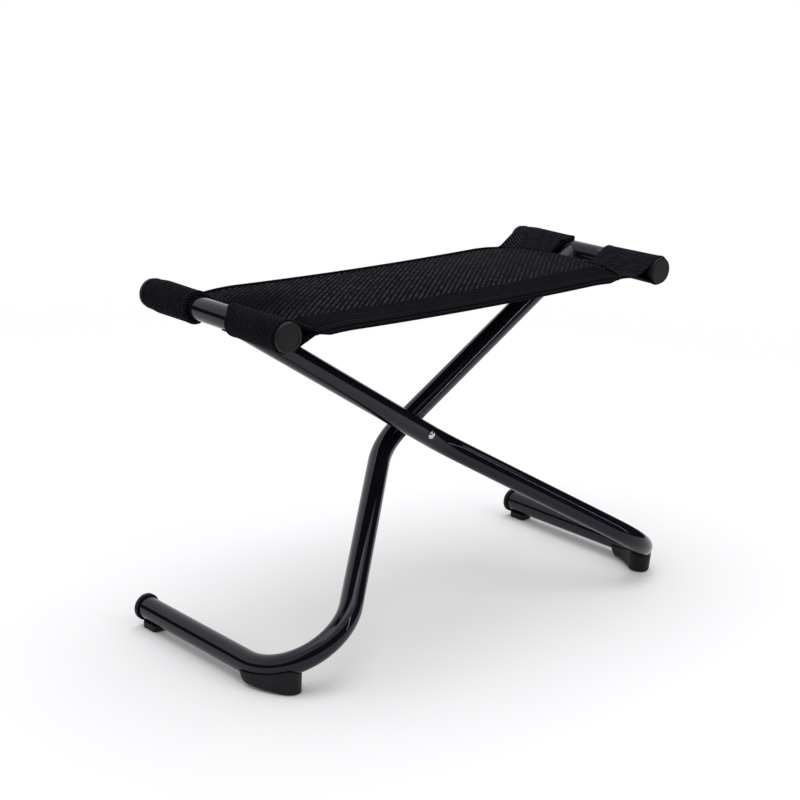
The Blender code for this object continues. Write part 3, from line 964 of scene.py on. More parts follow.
    @classmethod
    def settle(
        cls,
        piece: Piece,
        finish: Finish,
        slot: Slot,
        body: Body | None,
        *nodes: str,
        angle: float = SMOOTH_ANGLE,
    ) -> None:
        """Smooth, dress and place a finished piece.

        Args:
            piece: The piece.
            finish: Its finish.
            slot: The record's slot for it; not used.
            body: The body it rides on, or None, which leaves it on no body.
            nodes: The CAD nodes that it stands for.
            angle: Edges sharper than this stay sharp.
        """
        cls.choose(piece)
        bpy.ops.object.shade_smooth_by_angle(angle=angle)
        if not piece.data.materials:
            piece.data.materials.append(finish.material())
        if nodes:
            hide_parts(*nodes)
        if body is not None:
            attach(piece, body.value)
        LOG.info("%s: %d faces", piece.name, len(piece.data.polygons))


@dataclass(frozen=True)
class Layout:
    """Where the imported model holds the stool's axes."""

    middle: float
    bar_reach: float
    bar_height: float
    pivot_height: float
    crease_height: float
    radius: float
    bar_half: float

    @classmethod
    def read(cls) -> "Layout":
        """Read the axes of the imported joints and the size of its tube.

        Returns:
            The layout.
        """
        joints = {joint["name"]: joint["pos_m"] for joint in frame["joints"]}
        swing = joints["seat_swing_a"]
        low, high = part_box("top_bar_a")
        return cls(
            middle=swing[1],
            bar_reach=-swing[0],
            bar_height=swing[2],
            pivot_height=joints["fold"][2],
            crease_height=joints["seat_crease"][2],
            radius=(high.z - low.z) / 2,
            bar_half=(high.y - low.y) / 2,
        )

    def at(self, x: float, y: float, z: float) -> Vector:
        """Return a point whose Y is measured from the legs' middle plane."""
        return Vector((x, y + self.middle, z))


@dataclass
class TubeFrame:
    """One bent-tube frame: leg, seat bar, weld, end caps and feet."""

    layout: Layout
    letter: str
    side: int
    body: Body
    knee_drop: float = 0.030
    knee_radius: float = 0.084
    bend_reach: float = 0.180
    bend_radius: float = 0.060
    foot_x: float = 0.256
    foot_axis: float = 0.0173
    foot_reach: float = 0.0917
    tube_wall: float = 0.0015
    knee_steps: int = 14
    bend_steps: int = 32
    bead_radius: float = 0.0009
    bead_ripple: float = 0.00015
    bead_ripples: int = 34
    bead_points: int = 6
    bead_lift: float = 0.25
    bead_ease: float = 0.02
    cap_lip: float = 0.0026
    cap_thickness: float = 0.0075
    far_cap_thickness: float = 0.005
    cap_round: float = 0.0011
    cap_rim: float = 0.0017
    cap_dish: float = 0.0004
    cap_crown: float = 0.45
    plug_length: float = 0.018
    mouth_spare: float = 0.004
    mouth_round: float = 0.0003
    foot_cap_lip: float = 0.0022
    foot_cap_thickness: float = 0.0045
    pad_length: float = 0.021
    pad_setback: float = 0.006
    pad_width: float = 0.016
    pad_corner: float = 0.004
    pad_height: float = 0.0066
    pad_round: float = 0.0008
    pad_blunt: float = 4e-7
    pad_step: float = 0.0012
    pad_steps: int = 44
    pad_columns: int = 12
    saddle_from: float = 0.004
    saddle_to: float = 0.0475
    saddle_wall: float = 0.0014
    saddle_draft: float = 0.0012
    saddle_rim_drop: float = 0.0034
    saddle_sole_round: float = 0.0022
    saddle_tail_round: float = 0.0075
    saddle_rocker: float = 0.003
    saddle_rocker_run: float = 0.043
    saddle_rim_round: float = 0.0006
    saddle_floor: float = 0.0006
    saddle_crowding: float = 1.5
    saddle_steps: int = 36
    crown_steps: int = 16
    nose_steps: int = 12
    nose_turn: float = radians(84)
    screw_place: float = 0.016
    screw_head: float = 0.0034
    screw_seat: float = 0.0046
    screw_sides: int = 40
    screw_shank: tuple[Pair, ...] = ((0.0, 0.011), (0.0006, 0.011), (0.0017, 0.0095), (0.0017, 0.0))
    screw_dome: tuple[Pair, ...] = (
        (1.0, 0.0), (1.0, 0.0008), (0.93, 0.0014), (0.78, 0.0018), (0.5, 0.00205), (0.0, 0.0021)
    )
    slot_length: float = 0.0036
    slot_width: float = 0.0009
    slot_depth: float = 0.0024
    moulded_angle: float = radians(32)

    def corners(self) -> tuple[Vector, Vector, Vector, Vector]:
        """Lay out the leg's sharp route.

        Returns:
            The bar's axis, the knee, the foot's corner and the far end.
        """
        lay = self.layout
        plane = self.side * LEG_OFFSET
        top = lay.at(self.side * lay.bar_reach, plane, lay.bar_height)
        pivot = lay.at(0, plane, lay.pivot_height)
        knee = pivot + (pivot - top).normalized() * self.knee_drop
        foot = -self.side * self.foot_x
        corner = lay.at(foot, -self.bend_reach, self.foot_axis)
        end = lay.at(foot, self.foot_reach, self.foot_axis)
        return top, knee, corner, end

    @staticmethod
    def bend(
        before: Vector, corner: Vector, after: Vector, radius: float
    ) -> tuple[Vector, Vector, Vector, float]:
        """Round one corner of the route.

        Args:
            before: The point ahead of the corner.
            corner: The corner.
            after: The point past the corner.
            radius: The bend's radius.

        Returns:
            Where the bend starts, its centre, its axis and its angle.
        """
        inward = (corner - before).normalized()
        outward = (after - corner).normalized()
        angle = inward.angle(outward)
        start = corner - inward * radius * tan(angle / 2)
        axis = inward.cross(outward).normalized()
        return start, start + axis.cross(inward) * radius, axis, angle

    def bend_back(self, distance: float) -> tuple[Vector, Vector]:
        """Find a place on the tube, measured back from the end of its wide bend.

        Args:
            distance: How far back it is, or how far past the end where it is negative.

        Returns:
            The point and the tube's direction there.
        """
        _, knee, corner, end = self.corners()
        start, centre, axis, angle = self.bend(knee, corner, end, self.bend_radius)
        share = 1 - max(distance, 0.0) / (self.bend_radius * angle)
        turn = Matrix.Rotation(angle * share, 3, axis)
        heading = turn @ (corner - knee).normalized()
        return centre + turn @ (start - centre) - heading * min(distance, 0.0), heading

    def build(self) -> None:
        """Build and dress the whole frame."""
        self.build_leg()
        self.build_bar()
        self.build_bead()
        self.build_caps()
        self.build_saddle_foot()
        self.build_cap_foot()

    def build_leg(self) -> None:
        """Bend the leg out of one tube and cope it to the bar."""
        lay = self.layout
        top, knee, corner, end = self.corners()
        bends = (
            (self.bend(top, knee, corner, self.knee_radius), self.knee_steps),
            (self.bend(knee, corner, end, self.bend_radius), self.bend_steps),
        )
        down = (knee - top).normalized()
        leg = Bench.add(
            bpy.ops.mesh.primitive_circle_add,
            f"leg_{self.letter}",
            vertices=TUBE_SIDES,
            radius=lay.radius,
            location=top,
            rotation=down.to_track_quat("Z", "Y").to_euler(),
        )
        with Bench.editing(leg):
            reached = top
            for (start, centre, axis, angle), steps in bends:
                self.extrude_to(start - reached)
                bpy.ops.mesh.spin(steps=steps, angle=-angle, center=centre, axis=axis)
                reached = centre + Matrix.Rotation(angle, 3, axis) @ (start - centre)
            self.extrude_to(end - reached)
        Bench.close(leg)
        Bench.combine(leg, Bench.cylinder("cope", top, lay.radius - FIT, 4 * lay.radius))
        Bench.settle(leg, PAINT, Slot.PAINT, self.body, f"leg_tube_{self.letter}")

    @staticmethod
    def extrude_to(step: Vector) -> None:
        """Extrude the selected ring of edges by a step."""
        bpy.ops.mesh.extrude_edges_move(TRANSFORM_OT_translate={"value": step})

    def build_bar(self) -> None:
        """Build the seat bar, an open tube with a rounded mouth at each end."""
        lay = self.layout
        middle = lay.at(self.side * lay.bar_reach, 0, lay.bar_height)
        bar = Bench.cylinder(f"bar_{self.letter}", middle, lay.radius, 2 * lay.bar_half)
        with Bench.editing(bar):
            for edge in Edge:
                Bench.pick(bar, "FACE", lambda face: face.normal.y * edge.value > FACING)
                bpy.ops.mesh.inset(thickness=self.tube_wall)
                inwards = (0, -edge.value * (self.plug_length + self.mouth_spare), 0)
                bpy.ops.mesh.extrude_region_move(TRANSFORM_OT_translate={"value": inwards})
        sharp = {"limit_method": "ANGLE", "angle_limit": radians(60)}
        Bench.modify(bar, "BEVEL", width=self.mouth_round, segments=2, **sharp)
        Bench.settle(bar, PAINT, Slot.PAINT, self.body, f"top_bar_{self.letter}")

    def build_bead(self) -> None:
        """Lay the rippled weld bead where the coped leg meets the bar."""
        lay = self.layout
        top, knee, _, _ = self.corners()
        down = (knee - top).normalized()
        along = Vector((0, 1, 0))
        across = along.cross(down).normalized()
        count = self.bead_ripples * self.bead_points
        circle = bpy.ops.mesh.primitive_circle_add
        bead = Bench.add(circle, f"weld_{self.letter}", vertices=count, radius=lay.radius)
        reach = lay.radius + self.bead_radius * self.bead_lift
        for i, vertex in enumerate(bead.data.vertices):
            turn = 2 * pi * i / count
            sink = sqrt(cos(turn) ** 2 + self.bead_ease)
            vertex.co = (
                top + along * reach * cos(turn) + across * reach * sin(turn) + down * reach * sink
            )
        Bench.choose(bead)
        bpy.ops.object.convert(target="CURVE")
        bead.data.bevel_depth = self.bead_radius
        bead.data.bevel_resolution = 3
        bpy.ops.object.convert(target="MESH")
        bead = bpy.context.object
        bead.data.name = bead.name
        normals = [vertex.normal.copy() for vertex in bead.data.vertices]
        for vertex, normal in zip(bead.data.vertices, normals):
            spoke = vertex.co - top
            turn = atan2(spoke.dot(across), spoke.dot(along))
            vertex.co += normal * self.bead_ripple * sin(turn * self.bead_ripples)
        Bench.close(bead)
        Bench.settle(bead, PAINT, Slot.PAINT, self.body)

    def build_caps(self) -> None:
        """Build the flanged cap in each end of the bar."""
        lay = self.layout
        face = lay.at(self.side * lay.bar_reach, -lay.bar_half - FIT, lay.bar_height)
        for edge, thickness in ((Edge.NEAR, self.cap_thickness), (Edge.FAR, self.far_cap_thickness)):
            name = f"cap_{self.letter}_{edge.word}"
            cap = self.flanged_cap(name, face, lay.radius + self.cap_lip, thickness)
            if edge is Edge.FAR:
                Bench.half_turn(cap, lay.at(self.side * lay.bar_reach, 0, 0))
            Bench.settle(cap, PLASTIC, Slot.PLASTIC, self.body, f"top_cap_{self.letter}_{edge.word}")

    def flanged_cap(self, name: str, face: Vector, radius: float, thickness: float) -> Piece:
        """Model a cap that looks along -Y.

        Args:
            name: The piece's name.
            face: The middle of the tube's mouth.
            radius: The flange's radius.
            thickness: The flange's thickness.

        Returns:
            The cap with its plug.
        """
        depth = thickness - FIT
        cap = Bench.cylinder(name, face - Vector((0, depth / 2, 0)), radius, depth)
        plug = self.layout.radius - self.tube_wall - FIT
        with Bench.editing(cap):
            Bench.pick(cap, "FACE", lambda face: face.normal.y > FACING)
            bpy.ops.mesh.inset(thickness=radius - plug)
            bpy.ops.mesh.extrude_region_move(TRANSFORM_OT_translate={"value": (0, self.plug_length, 0)})
            outer = face.y - depth
            rim = [outer - SAME_PLACE, outer + SAME_PLACE]
            Bench.pick(cap, "EDGE", lambda edge: all(rim[0] < v.co.y < rim[1] for v in edge.verts))
            bpy.ops.mesh.bevel(offset=self.cap_round, segments=5, affect="EDGES")
            Bench.pick(cap, "FACE", lambda face: face.normal.y < -FLAT_ON)
            bpy.ops.mesh.inset(thickness=self.cap_rim)
            bpy.ops.mesh.inset(thickness=self.cap_dish)
            bpy.ops.transform.translate(value=(0, self.cap_dish, 0))
            bpy.ops.mesh.inset(thickness=radius * self.cap_crown)
            bpy.ops.transform.translate(value=(0, -self.cap_dish / 2, 0))
        return cap

    def build_saddle_foot(self) -> None:
        """Loft the saddle foot along the wide bend, cut its screw well and set the screw in it."""
        foot = Bench.roll(f"saddle_foot_{self.letter}", self.saddle_rings())
        axis, _ = self.bend_back(self.screw_place)
        middle, radius = (axis.x, axis.y, 0), self.screw_head + FIT
        depth = 2 * self.screw_seat
        well = Bench.cylinder("screw_well", middle, radius, depth, (0, 0, 0), self.screw_sides)
        Bench.combine(foot, well)
        node = f"near_foot_{self.letter}"
        Bench.settle(foot, PLASTIC, Slot.PLASTIC, self.body, node, angle=self.moulded_angle)
        self.build_screw(Vector((axis.x, axis.y, self.screw_seat - FIT)))

    def saddle_rings(self) -> list[list[Vector]]:
        """Lay out the saddle foot along the wide bend.

        Returns:
            Its sections, from its tail to the tip of its nose.
        """
        rings = []
        run = self.saddle_to - self.saddle_from
        count = self.saddle_steps
        for i in range(count + 1):
            from_tail = run * (i / count) ** self.saddle_crowding
            point, heading = self.bend_back(self.saddle_from + from_tail)
            rings.append(self.saddle_ring(point, -heading, 1.0, from_tail))
        last, heading = self.bend_back(self.saddle_to)
        step = Vector((-heading.x, -heading.y, 0)).normalized()
        rise = -heading.z / hypot(heading.x, heading.y)
        half = self.layout.radius + self.saddle_wall - self.saddle_draft
        rim = last.z - self.saddle_rim_drop
        for i in range(1, self.nose_steps + 1):
            turn = self.nose_turn * i / self.nose_steps
            forward = half * sin(turn)
            point = last + step * forward + Vector((0, 0, rise * forward))
            rings.append(self.saddle_ring(point, -heading, cos(turn), run, rim))
        return rings

    def saddle_ring(
        self, point: Vector, heading: Vector, share: float, from_tail: float, rim: float | None = None
    ) -> list[Vector]:
        """Return one section of the saddle foot.

        Args:
            point: The tube's axis over the section.
            heading: The direction of the axis, away from the tail.
            share: The share of the full width.
            from_tail: How far the section lies from the tail's end.
            rim: The height of the rim, where it doesn't follow the axis.

        Returns:
            Points round the section.
        """
        level = hypot(heading.x, heading.y)
        across = Vector((-heading.y, heading.x, 0)) / level
        top = (self.layout.radius + self.saddle_wall) * share
        sole = top - self.saddle_draft * share
        rim = point.z - self.saddle_rim_drop if rim is None else rim
        bore = self.layout.radius + FIT
        round_tail = self.saddle_tail_round
        lift = self.saddle_rocker * max(0.0, 1 - from_tail / self.saddle_rocker_run)
        if from_tail < round_tail:
            lift += round_tail - sqrt(round_tail**2 - (round_tail - from_tail) ** 2)
        lip = self.saddle_rim_round * share
        soft = self.saddle_sole_round * share

        def crown(u: float) -> float:
            """Return the height of the upper side, under the tube or at the rim."""
            return min(point.z - sqrt(max(bore**2 - u**2, 0.0)) / level, rim)

        half: list[Pair] = [(0.0, lift), (sole * 0.5, lift)]
        half += [(sole - soft + soft * s, lift + soft * (1 - c)) for s, c in quarter(5)]
        crest = crown(top - lip)
        for share_up in even(0.0, 1.0, 6)[1:-1]:
            half.append((mix(sole, top, share_up), mix(lift + soft, crest - lip, share_up)))
        half += [(top - lip + lip * c, crest - lip + lip * s) for s, c in quarter(4)]
        for i in range(1, self.crown_steps + 1):
            u = (top - lip) * (1 - i / self.crown_steps)
            half.append((u, max(crown(u), lift + self.saddle_floor)))
        base = Vector((point.x, point.y, 0))
        return [base + across * u + Vector((0, 0, v)) for u, v in mirrored(half)]

    def build_screw(self, seat: Vector) -> None:
        """Model the pan-head screw that looks down out of its well.

        Args:
            seat: The middle of the well's floor.
        """
        dome = [(self.screw_head * share, -depth) for share, depth in self.screw_dome]
        profile = [*self.screw_shank, *dome]
        screw = Bench.turn(f"foot_screw_{self.letter}", profile, seat, UP, self.screw_sides)
        face = seat + UP * dome[-1][1]
        long, wide, deep = self.slot_length, self.slot_width, self.slot_depth
        for size in ((long, wide, deep), (wide, long, deep)):
            cube = bpy.ops.mesh.primitive_cube_add
            Bench.combine(screw, Bench.add(cube, "slot", size=1, location=face, scale=size))
        node = f"near_foot_screw_{self.letter}"
        Bench.settle(screw, ZINC, Slot.STEEL, self.body, node, angle=radians(30))

    def build_cap_foot(self) -> None:
        """Model the cap in the foot bar's end and the pad moulded under it."""
        lay = self.layout
        end = self.corners()[-1]
        face, radius = end - Vector((0, FIT, 0)), lay.radius + self.foot_cap_lip
        cap = self.flanged_cap(f"cap_foot_{self.letter}", face, radius, self.foot_cap_thickness)
        Bench.half_turn(cap, end)
        Bench.combine(cap, Bench.roll("pad", self.pad_rings(end)), "UNION")
        node = f"far_foot_{self.letter}"
        Bench.settle(cap, PLASTIC, Slot.PLASTIC, self.body, node, angle=self.moulded_angle)

    def pad_rings(self, end: Vector) -> list[list[Vector]]:
        """Lay out the pad under the foot cap.

        Args:
            end: The far end of the foot bar's axis.

        Returns:
            Its sections along Y.
        """
        middle = end.y + self.foot_cap_thickness - self.pad_setback - self.pad_length / 2
        bore = self.layout.radius + FIT
        soft = self.pad_round
        rings = []
        for i in range(self.pad_steps + 1):
            along = -cos(pi * i / self.pad_steps) * self.pad_length / 2
            into = max(0.0, abs(along) - (self.pad_length / 2 - self.pad_corner))
            rounding = sqrt(max(self.pad_corner**2 - into**2, self.pad_blunt))
            width = self.pad_width / 2 - self.pad_corner + rounding
            past = max(0.0, abs(along) - self.pad_length / 2 + soft)
            lift = soft - sqrt(max(soft**2 - past**2, 0.0))
            under_cap = middle + along >= end.y + FIT
            ceiling = end.z - bore + (self.pad_step if under_cap else 0.0)
            half = [(0.0, lift), (width - soft, lift)]
            half += [(width - soft + soft * s, lift + soft * (1 - c)) for s, c in quarter(4)[1:]]
            peak = self.pad_height - lift
            half += [(width, peak - soft), (width - soft * 0.3, peak - soft * 0.3), (width - soft, peak)]
            for j in range(1, self.pad_columns + 1):
                u = (width - soft) * (1 - j / self.pad_columns)
                under = end.z - sqrt(max(bore**2 - u**2, 0.0))
                half.append((u, min(peak, max(under, ceiling))))
            rings.append([Vector((end.x + u, middle + along, v)) for u, v in mirrored(half)])
        return rings


@dataclass
class Pivot:
    """The rivet through both legs, the bush between them and the washer behind."""

    layout: Layout
    shank: float = 0.0025
    head: float = 0.0042
    head_height: float = 0.0022
    washer: float = 0.006
    washer_thickness: float = 0.001
    bush: float = 0.0075
    head_under: float = 0.985
    washer_round: float = 0.0002
    bush_round: float = 0.0005
    groove_length: float = 0.06

    def build(self) -> None:
        """Build and dress the pivot."""
        lay = self.layout
        centre = lay.at(0, 0, lay.pivot_height)
        away = Vector((0, -1, 0))
        near = LEG_OFFSET + lay.radius + FIT
        far = -(near + self.washer_thickness + FIT)
        dome = [(self.head * s, self.head_height * c) for s, c in quarter(9)]
        under = self.head * self.head_under
        profile = [(radius, near + height) for radius, height in dome]
        profile += [(under, near), (self.shank, near), (self.shank, far), (under, far)]
        profile += [(radius, far - height) for radius, height in reversed(dome)]
        rivet = Bench.turn("rivet", profile, centre, away)
        Bench.settle(rivet, ZINC, Slot.STEEL, Body.FRAME_A, "pivot_rivet", angle=radians(50))

        bore = self.shank + FIT
        back = -near
        soft = self.washer_round
        rim, front = self.washer - soft, back - self.washer_thickness
        wall = [(bore, back), (rim, back), (self.washer, back - soft), (self.washer, front + soft)]
        wall += [(rim, front), (bore, front), (bore, back)]
        washer = Bench.turn("rivet_washer", wall, centre, away)
        Bench.settle(washer, ZINC, Slot.STEEL, Body.FRAME_A, "pivot_washer", angle=radians(30))

        saddle = LEG_OFFSET
        inner = -(LEG_OFFSET - lay.radius - FIT)
        soft = self.bush_round
        wall = [(bore, saddle), (self.bush, saddle), (self.bush, inner + soft)]
        wall += [(self.bush - soft, inner), (bore, inner), (bore, saddle)]
        bush = Bench.turn("pivot_bush", wall, centre, away)
        slope = Vector((-lay.bar_reach, 0, lay.bar_height - lay.pivot_height))
        middle = lay.at(0, -LEG_OFFSET, lay.pivot_height)
        rotation = slope.to_track_quat("Z", "Y").to_euler()
        groove = Bench.cylinder("groove", middle, lay.radius + FIT, self.groove_length, rotation)
        Bench.combine(bush, groove)
        Bench.settle(bush, NYLON, Slot.NYLON, Body.FRAME_A, "pivot_spacer", angle=radians(30))


@dataclass(frozen=True)
class SeatShape:
    """The form of the seat: its reach, sag and thickness, shared by all the cloth pieces."""

    layout: Layout
    width: float = 0.174
    reach_middle: float = 0.219
    corner_setback: float = 0.019
    corner_width: float = 0.040
    corner_curve: float = 1.5
    edge_half: float = 0.0858
    middle_thickness: float = 0.011
    edge_thickness: float = 0.0052
    end_share: float = 0.345
    end_taper: float = 0.018
    top_taper: float = 0.024
    top_fall: float = 0.34
    drop: float = 0.003
    sag: float = 0.0035
    droop: float = 0.0022
    droop_run: float = 0.045
    droop_from: float = 0.05
    rim: float = 0.003

    def height(self, x: float, y: float) -> float:
        """Find the seat's middle surface, which sags, and droops at its corners.

        Args:
            x: The place from the seat's middle.
            y: The place from the legs' middle plane.

        Returns:
            Its height.
        """
        into = smooth_step(self.droop_run - self.reach(y) + abs(x), 0.0, self.droop_run)
        corner = self.droop * into * smooth_step(abs(y), self.droop_from, self.edge_half)
        sagged = self.sag * (1 - (x / self.reach_middle) ** 2)
        return self.layout.bar_height - self.drop - sagged - corner

    def reach(self, y: float) -> float:
        """Return how far the panel runs from its middle, less towards its corners."""
        into = max(0.0, abs(y) - (self.width / 2 - self.corner_width)) / self.corner_width
        return self.reach_middle - self.corner_setback * min(into, 1.0) ** self.corner_curve

    def half_thickness(self, y: float) -> float:
        """Return half the thickness away from the ends."""
        swell = 1 - (y / self.edge_half) ** 2
        return (self.edge_thickness + (self.middle_thickness - self.edge_thickness) * swell) / 2

    def faces(self, x: float, y: float) -> Pair:
        """Find the upper and lower cloth before the rim is rounded.

        Args:
            x: The place from the seat's middle.
            y: The place from the legs' middle plane.

        Returns:
            Their heights.
        """
        thick = self.half_thickness(y)
        from_end = max(self.reach(y) - abs(x), 0.0)
        end = 2 * thick * self.end_share
        depth = end + (2 * thick - end) * min(from_end / self.end_taper, 1.0)
        fall = self.top_fall * (1 - smooth_step(from_end, 0.0, self.top_taper))
        middle = self.height(x, y)
        return middle + thick * (1 - fall), middle + thick - depth

    def skins(self, x: float, y: float) -> Pair:
        """Find the upper and lower cloth, which meet at the rim.

        Args:
            x: The place from the seat's middle.
            y: The place from the legs' middle plane.

        Returns:
            Their heights.
        """
        upper, lower = self.faces(x, y)
        seam = (upper + lower) / 2
        inside = min(self.reach(y) - abs(x), self.edge_half - abs(y)) / self.rim
        swell = sqrt(max(0.0, 1 - (1 - min(max(inside, 0.0), 1.0)) ** 2))
        return seam + (upper - seam) * swell, seam - (seam - lower) * swell

    def seam(self, y: float) -> float:
        """Return the height of the seam at the panel's end."""
        reach = self.reach(y)
        return sum(self.faces(reach, y)) / 2


@dataclass
class SeatPanel:
    """The padded panel: ribbed mesh above, plain cloth below, blown up by a cloth simulation."""

    shape: SeatShape
    step: float = 0.004
    rim_steps: tuple[float, ...] = (0.0, 0.0006, 0.0016, 0.0032)
    swell_cap: float = 0.0022
    rim_gap: float = 0.003
    held: Pair = (0.004, 0.012)
    swell_run: Pair = (0.006, 0.030)
    pressure: float = 4.0
    frames: int = 20
    cloth_mass: float = 0.3
    cloth_stiffness: float = 15
    cloth_bending: float = 2.0
    top_facing: float = 0.3
    under_facing: float = -0.15
    rib_depth: float = 0.0008
    rib_fade: float = 0.006
    rib_end: Pair = (0.002, 0.010)
    rib_calm: float = 0.5
    lap: float = 0.005

    def places(self, half: float) -> list[float]:
        """Return the places across the panel from one rim to the other, closer at the rims.

        Args:
            half: Half the distance from rim to rim.

        Returns:
            Places from -half to half.
        """
        inner = half - self.rim_steps[-1] - self.rim_gap
        low = [-half + step for step in self.rim_steps]
        return [*low, *spread(-inner, inner, self.step), *[-place for place in reversed(low)]]

    def build(self) -> None:
        """Build, blow up, rib and dress the panel."""
        shape = self.shape
        lay = shape.layout
        across = self.places(shape.edge_half)
        along = self.places(shape.reach_middle)
        skins = []
        for layer in (0, 1):
            rows = []
            for y in across:
                stretch = shape.reach(y) / shape.reach_middle
                rows.append([lay.at(x * stretch, y, shape.skins(x * stretch, y)[layer]) for x in along])
            skins.append(Bench.skin(f"seat_panel_{layer}", rows))
        panel, under = skins
        Bench.choose(panel, under)
        bpy.ops.object.join()
        panel.name = "seat_panel"
        panel.data.name = panel.name
        Bench.close(panel)
        self.blow_up(panel)
        Bench.modify(panel, "SUBSURF", levels=1, render_levels=1)
        self.refine_top(panel)
        self.rib(panel)
        self.paint(panel)
        nodes = ("seat_panel_a", "seat_panel_b")
        Bench.settle(panel, MESH, Slot.MESH, None, *nodes, angle=radians(60))
        fold(lay, panel)

    def inside(self, point: Vector) -> float:
        """Return how far a point of the panel lies from the nearest rim."""
        y = point.y - self.shape.layout.middle
        return min(self.shape.reach(y) - abs(point.x), self.shape.edge_half - abs(y))

    def blow_up(self, panel: Piece) -> None:
        """Press the cloth out from inside, with its rim held, and cap how far it moves.

        Args:
            panel: The panel.
        """
        rest = [vertex.co.copy() for vertex in panel.data.vertices]
        group = panel.vertex_groups.new(name="rim")
        for index, place in enumerate(rest):
            group.add([index], 1 - smooth_step(self.inside(place), *self.held), "REPLACE")
        cloth = panel.modifiers.new("cloth", "CLOTH")
        cloth.settings.vertex_group_mass = group.name
        cloth.settings.use_pressure = True
        cloth.settings.uniform_pressure_force = self.pressure
        cloth.settings.effector_weights.gravity = 0.0
        cloth.settings.quality = 5
        cloth.settings.mass = self.cloth_mass
        cloth.settings.tension_stiffness = self.cloth_stiffness
        cloth.settings.compression_stiffness = self.cloth_stiffness
        cloth.settings.bending_stiffness = self.cloth_bending
        cloth.point_cache.frame_end = self.frames
        scene = bpy.context.scene
        for number in range(1, self.frames + 1):
            scene.frame_set(number)
        Bench.choose(panel)
        bpy.ops.object.modifier_apply(modifier=cloth.name)
        scene.frame_set(1)
        for vertex, place in zip(panel.data.vertices, rest):
            move = vertex.co - place
            limit = self.swell_cap * smooth_step(self.inside(place), *self.swell_run)
            if move.length > limit:
                move = move.normalized() * limit
            vertex.co = place + move
        panel.vertex_groups.clear()

    def refine_top(self, panel: Piece) -> None:
        """Divide the upper faces once more, so that the ribs have enough points.

        Args:
            panel: The panel.
        """
        edge = self.shape.edge_half - self.lap * 0.6
        middle = self.shape.layout.middle

        def on_top(face: bmesh.types.BMFace) -> bool:
            """Return whether a face looks up and lies clear of the tapes."""
            return face.normal.z > self.top_facing and abs(face.calc_center_median().y - middle) < edge

        with Bench.editing(panel):
            Bench.pick(panel, "FACE", on_top)
            bpy.ops.mesh.subdivide(number_cuts=1)

    def rib(self, panel: Piece) -> None:
        """Raise the slanting ribs of the upper cloth.

        Args:
            panel: The panel.
        """
        lay = self.shape.layout
        edge = self.shape.edge_half - self.lap
        normals = [vertex.normal.copy() for vertex in panel.data.vertices]
        for vertex, normal in zip(panel.data.vertices, normals):
            if normal.z < self.top_facing:
                continue
            y = vertex.co.y - lay.middle
            step = (vertex.co.x * sin(MESH.slant) - y * cos(MESH.slant)) / MESH.pitch
            fade = smooth_step(edge - abs(y), 0.0, self.rib_fade)
            fade *= smooth_step(self.shape.reach(y) - abs(vertex.co.x), *self.rib_end)
            fade *= 1 - self.rib_calm * smooth_step(vertex.co.x, *MESH.calm_run)
            vertex.co += normal * self.rib_depth * fade * (sin(2 * pi * step) * 0.5 - 0.5)

    def paint(self, panel: Piece) -> None:
        """Give the upper and lower cloth their materials and lay the UV map flat, in metres.

        Args:
            panel: The panel.
        """
        data = panel.data
        data.materials.clear()
        data.materials.append(MESH.material())
        data.materials.append(CLOTH.material())
        for face in data.polygons:
            face.material_index = 0 if face.normal.z > self.under_facing else 1
        layer = data.uv_layers.active.data
        middle = self.shape.layout.middle
        for corner, loop in enumerate(data.loops):
            place = data.vertices[loop.vertex_index].co
            layer[corner].uv = (place.x, place.y - middle)


def fold(layout: Layout, piece: Piece) -> None:
    """Bake a piece's transform into its mesh.

    Args:
        layout: The stool's axes.
        piece: The piece, with its mesh final.
    """
    start = layout.at(-FOLD_HALF, 0, layout.crease_height)
    end = layout.at(FOLD_HALF, 0, layout.crease_height)
    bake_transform(piece)


@dataclass
class Stitching:
    """Rows of lockstitch, each made of one modelled stitch that is repeated and laid along a seam."""

    pitch: float = 0.0038
    length: float = 0.0029
    radius: float = 0.00042
    arch: float = 0.55
    arch_fall: float = 1.3
    flatness: float = 0.8

    def row(self, name: str, seam: Callable[[float], Stance], length: float) -> Piece:
        """Lay one row of stitches.

        Args:
            name: The piece's name.
            seam: Gives a point, the direction across and the direction up at a distance along the seam.
            length: The seam's length.

        Returns:
            The row as one object.
        """
        ball = {"segments": 8, "ring_count": 8, "radius": 1, "rotation": (0, pi / 2, 0)}
        stitch = Bench.add(bpy.ops.mesh.primitive_uv_sphere_add, name, **ball)
        half = self.length / 2
        for vertex in stitch.data.vertices:
            x, y, z = vertex.co
            arch = self.radius * (self.arch - self.arch_fall * x * x)
            high = z * self.radius * self.flatness + arch
            vertex.co = (x * half + self.pitch / 2, y * self.radius, high)
        layer = stitch.data.uv_layers.active.data
        for corner, loop in enumerate(stitch.data.loops):
            place = stitch.data.vertices[loop.vertex_index].co
            layer[corner].uv = (place.x, atan2(place.z, place.y) / (2 * pi))
        count = max(1, floor(length / self.pitch))
        offset = {"use_relative_offset": False, "use_constant_offset": True}
        step = (self.pitch, 0, 0)
        Bench.modify(stitch, "ARRAY", count=count, constant_offset_displace=step, **offset)
        spare = (length - count * self.pitch) / 2
        for vertex in stitch.data.vertices:
            point, across, up = seam(vertex.co.x + spare)
            vertex.co = point + across * vertex.co.y + up * vertex.co.z
        with Bench.editing(stitch):
            bpy.ops.mesh.normals_make_consistent(inside=False)
        return stitch


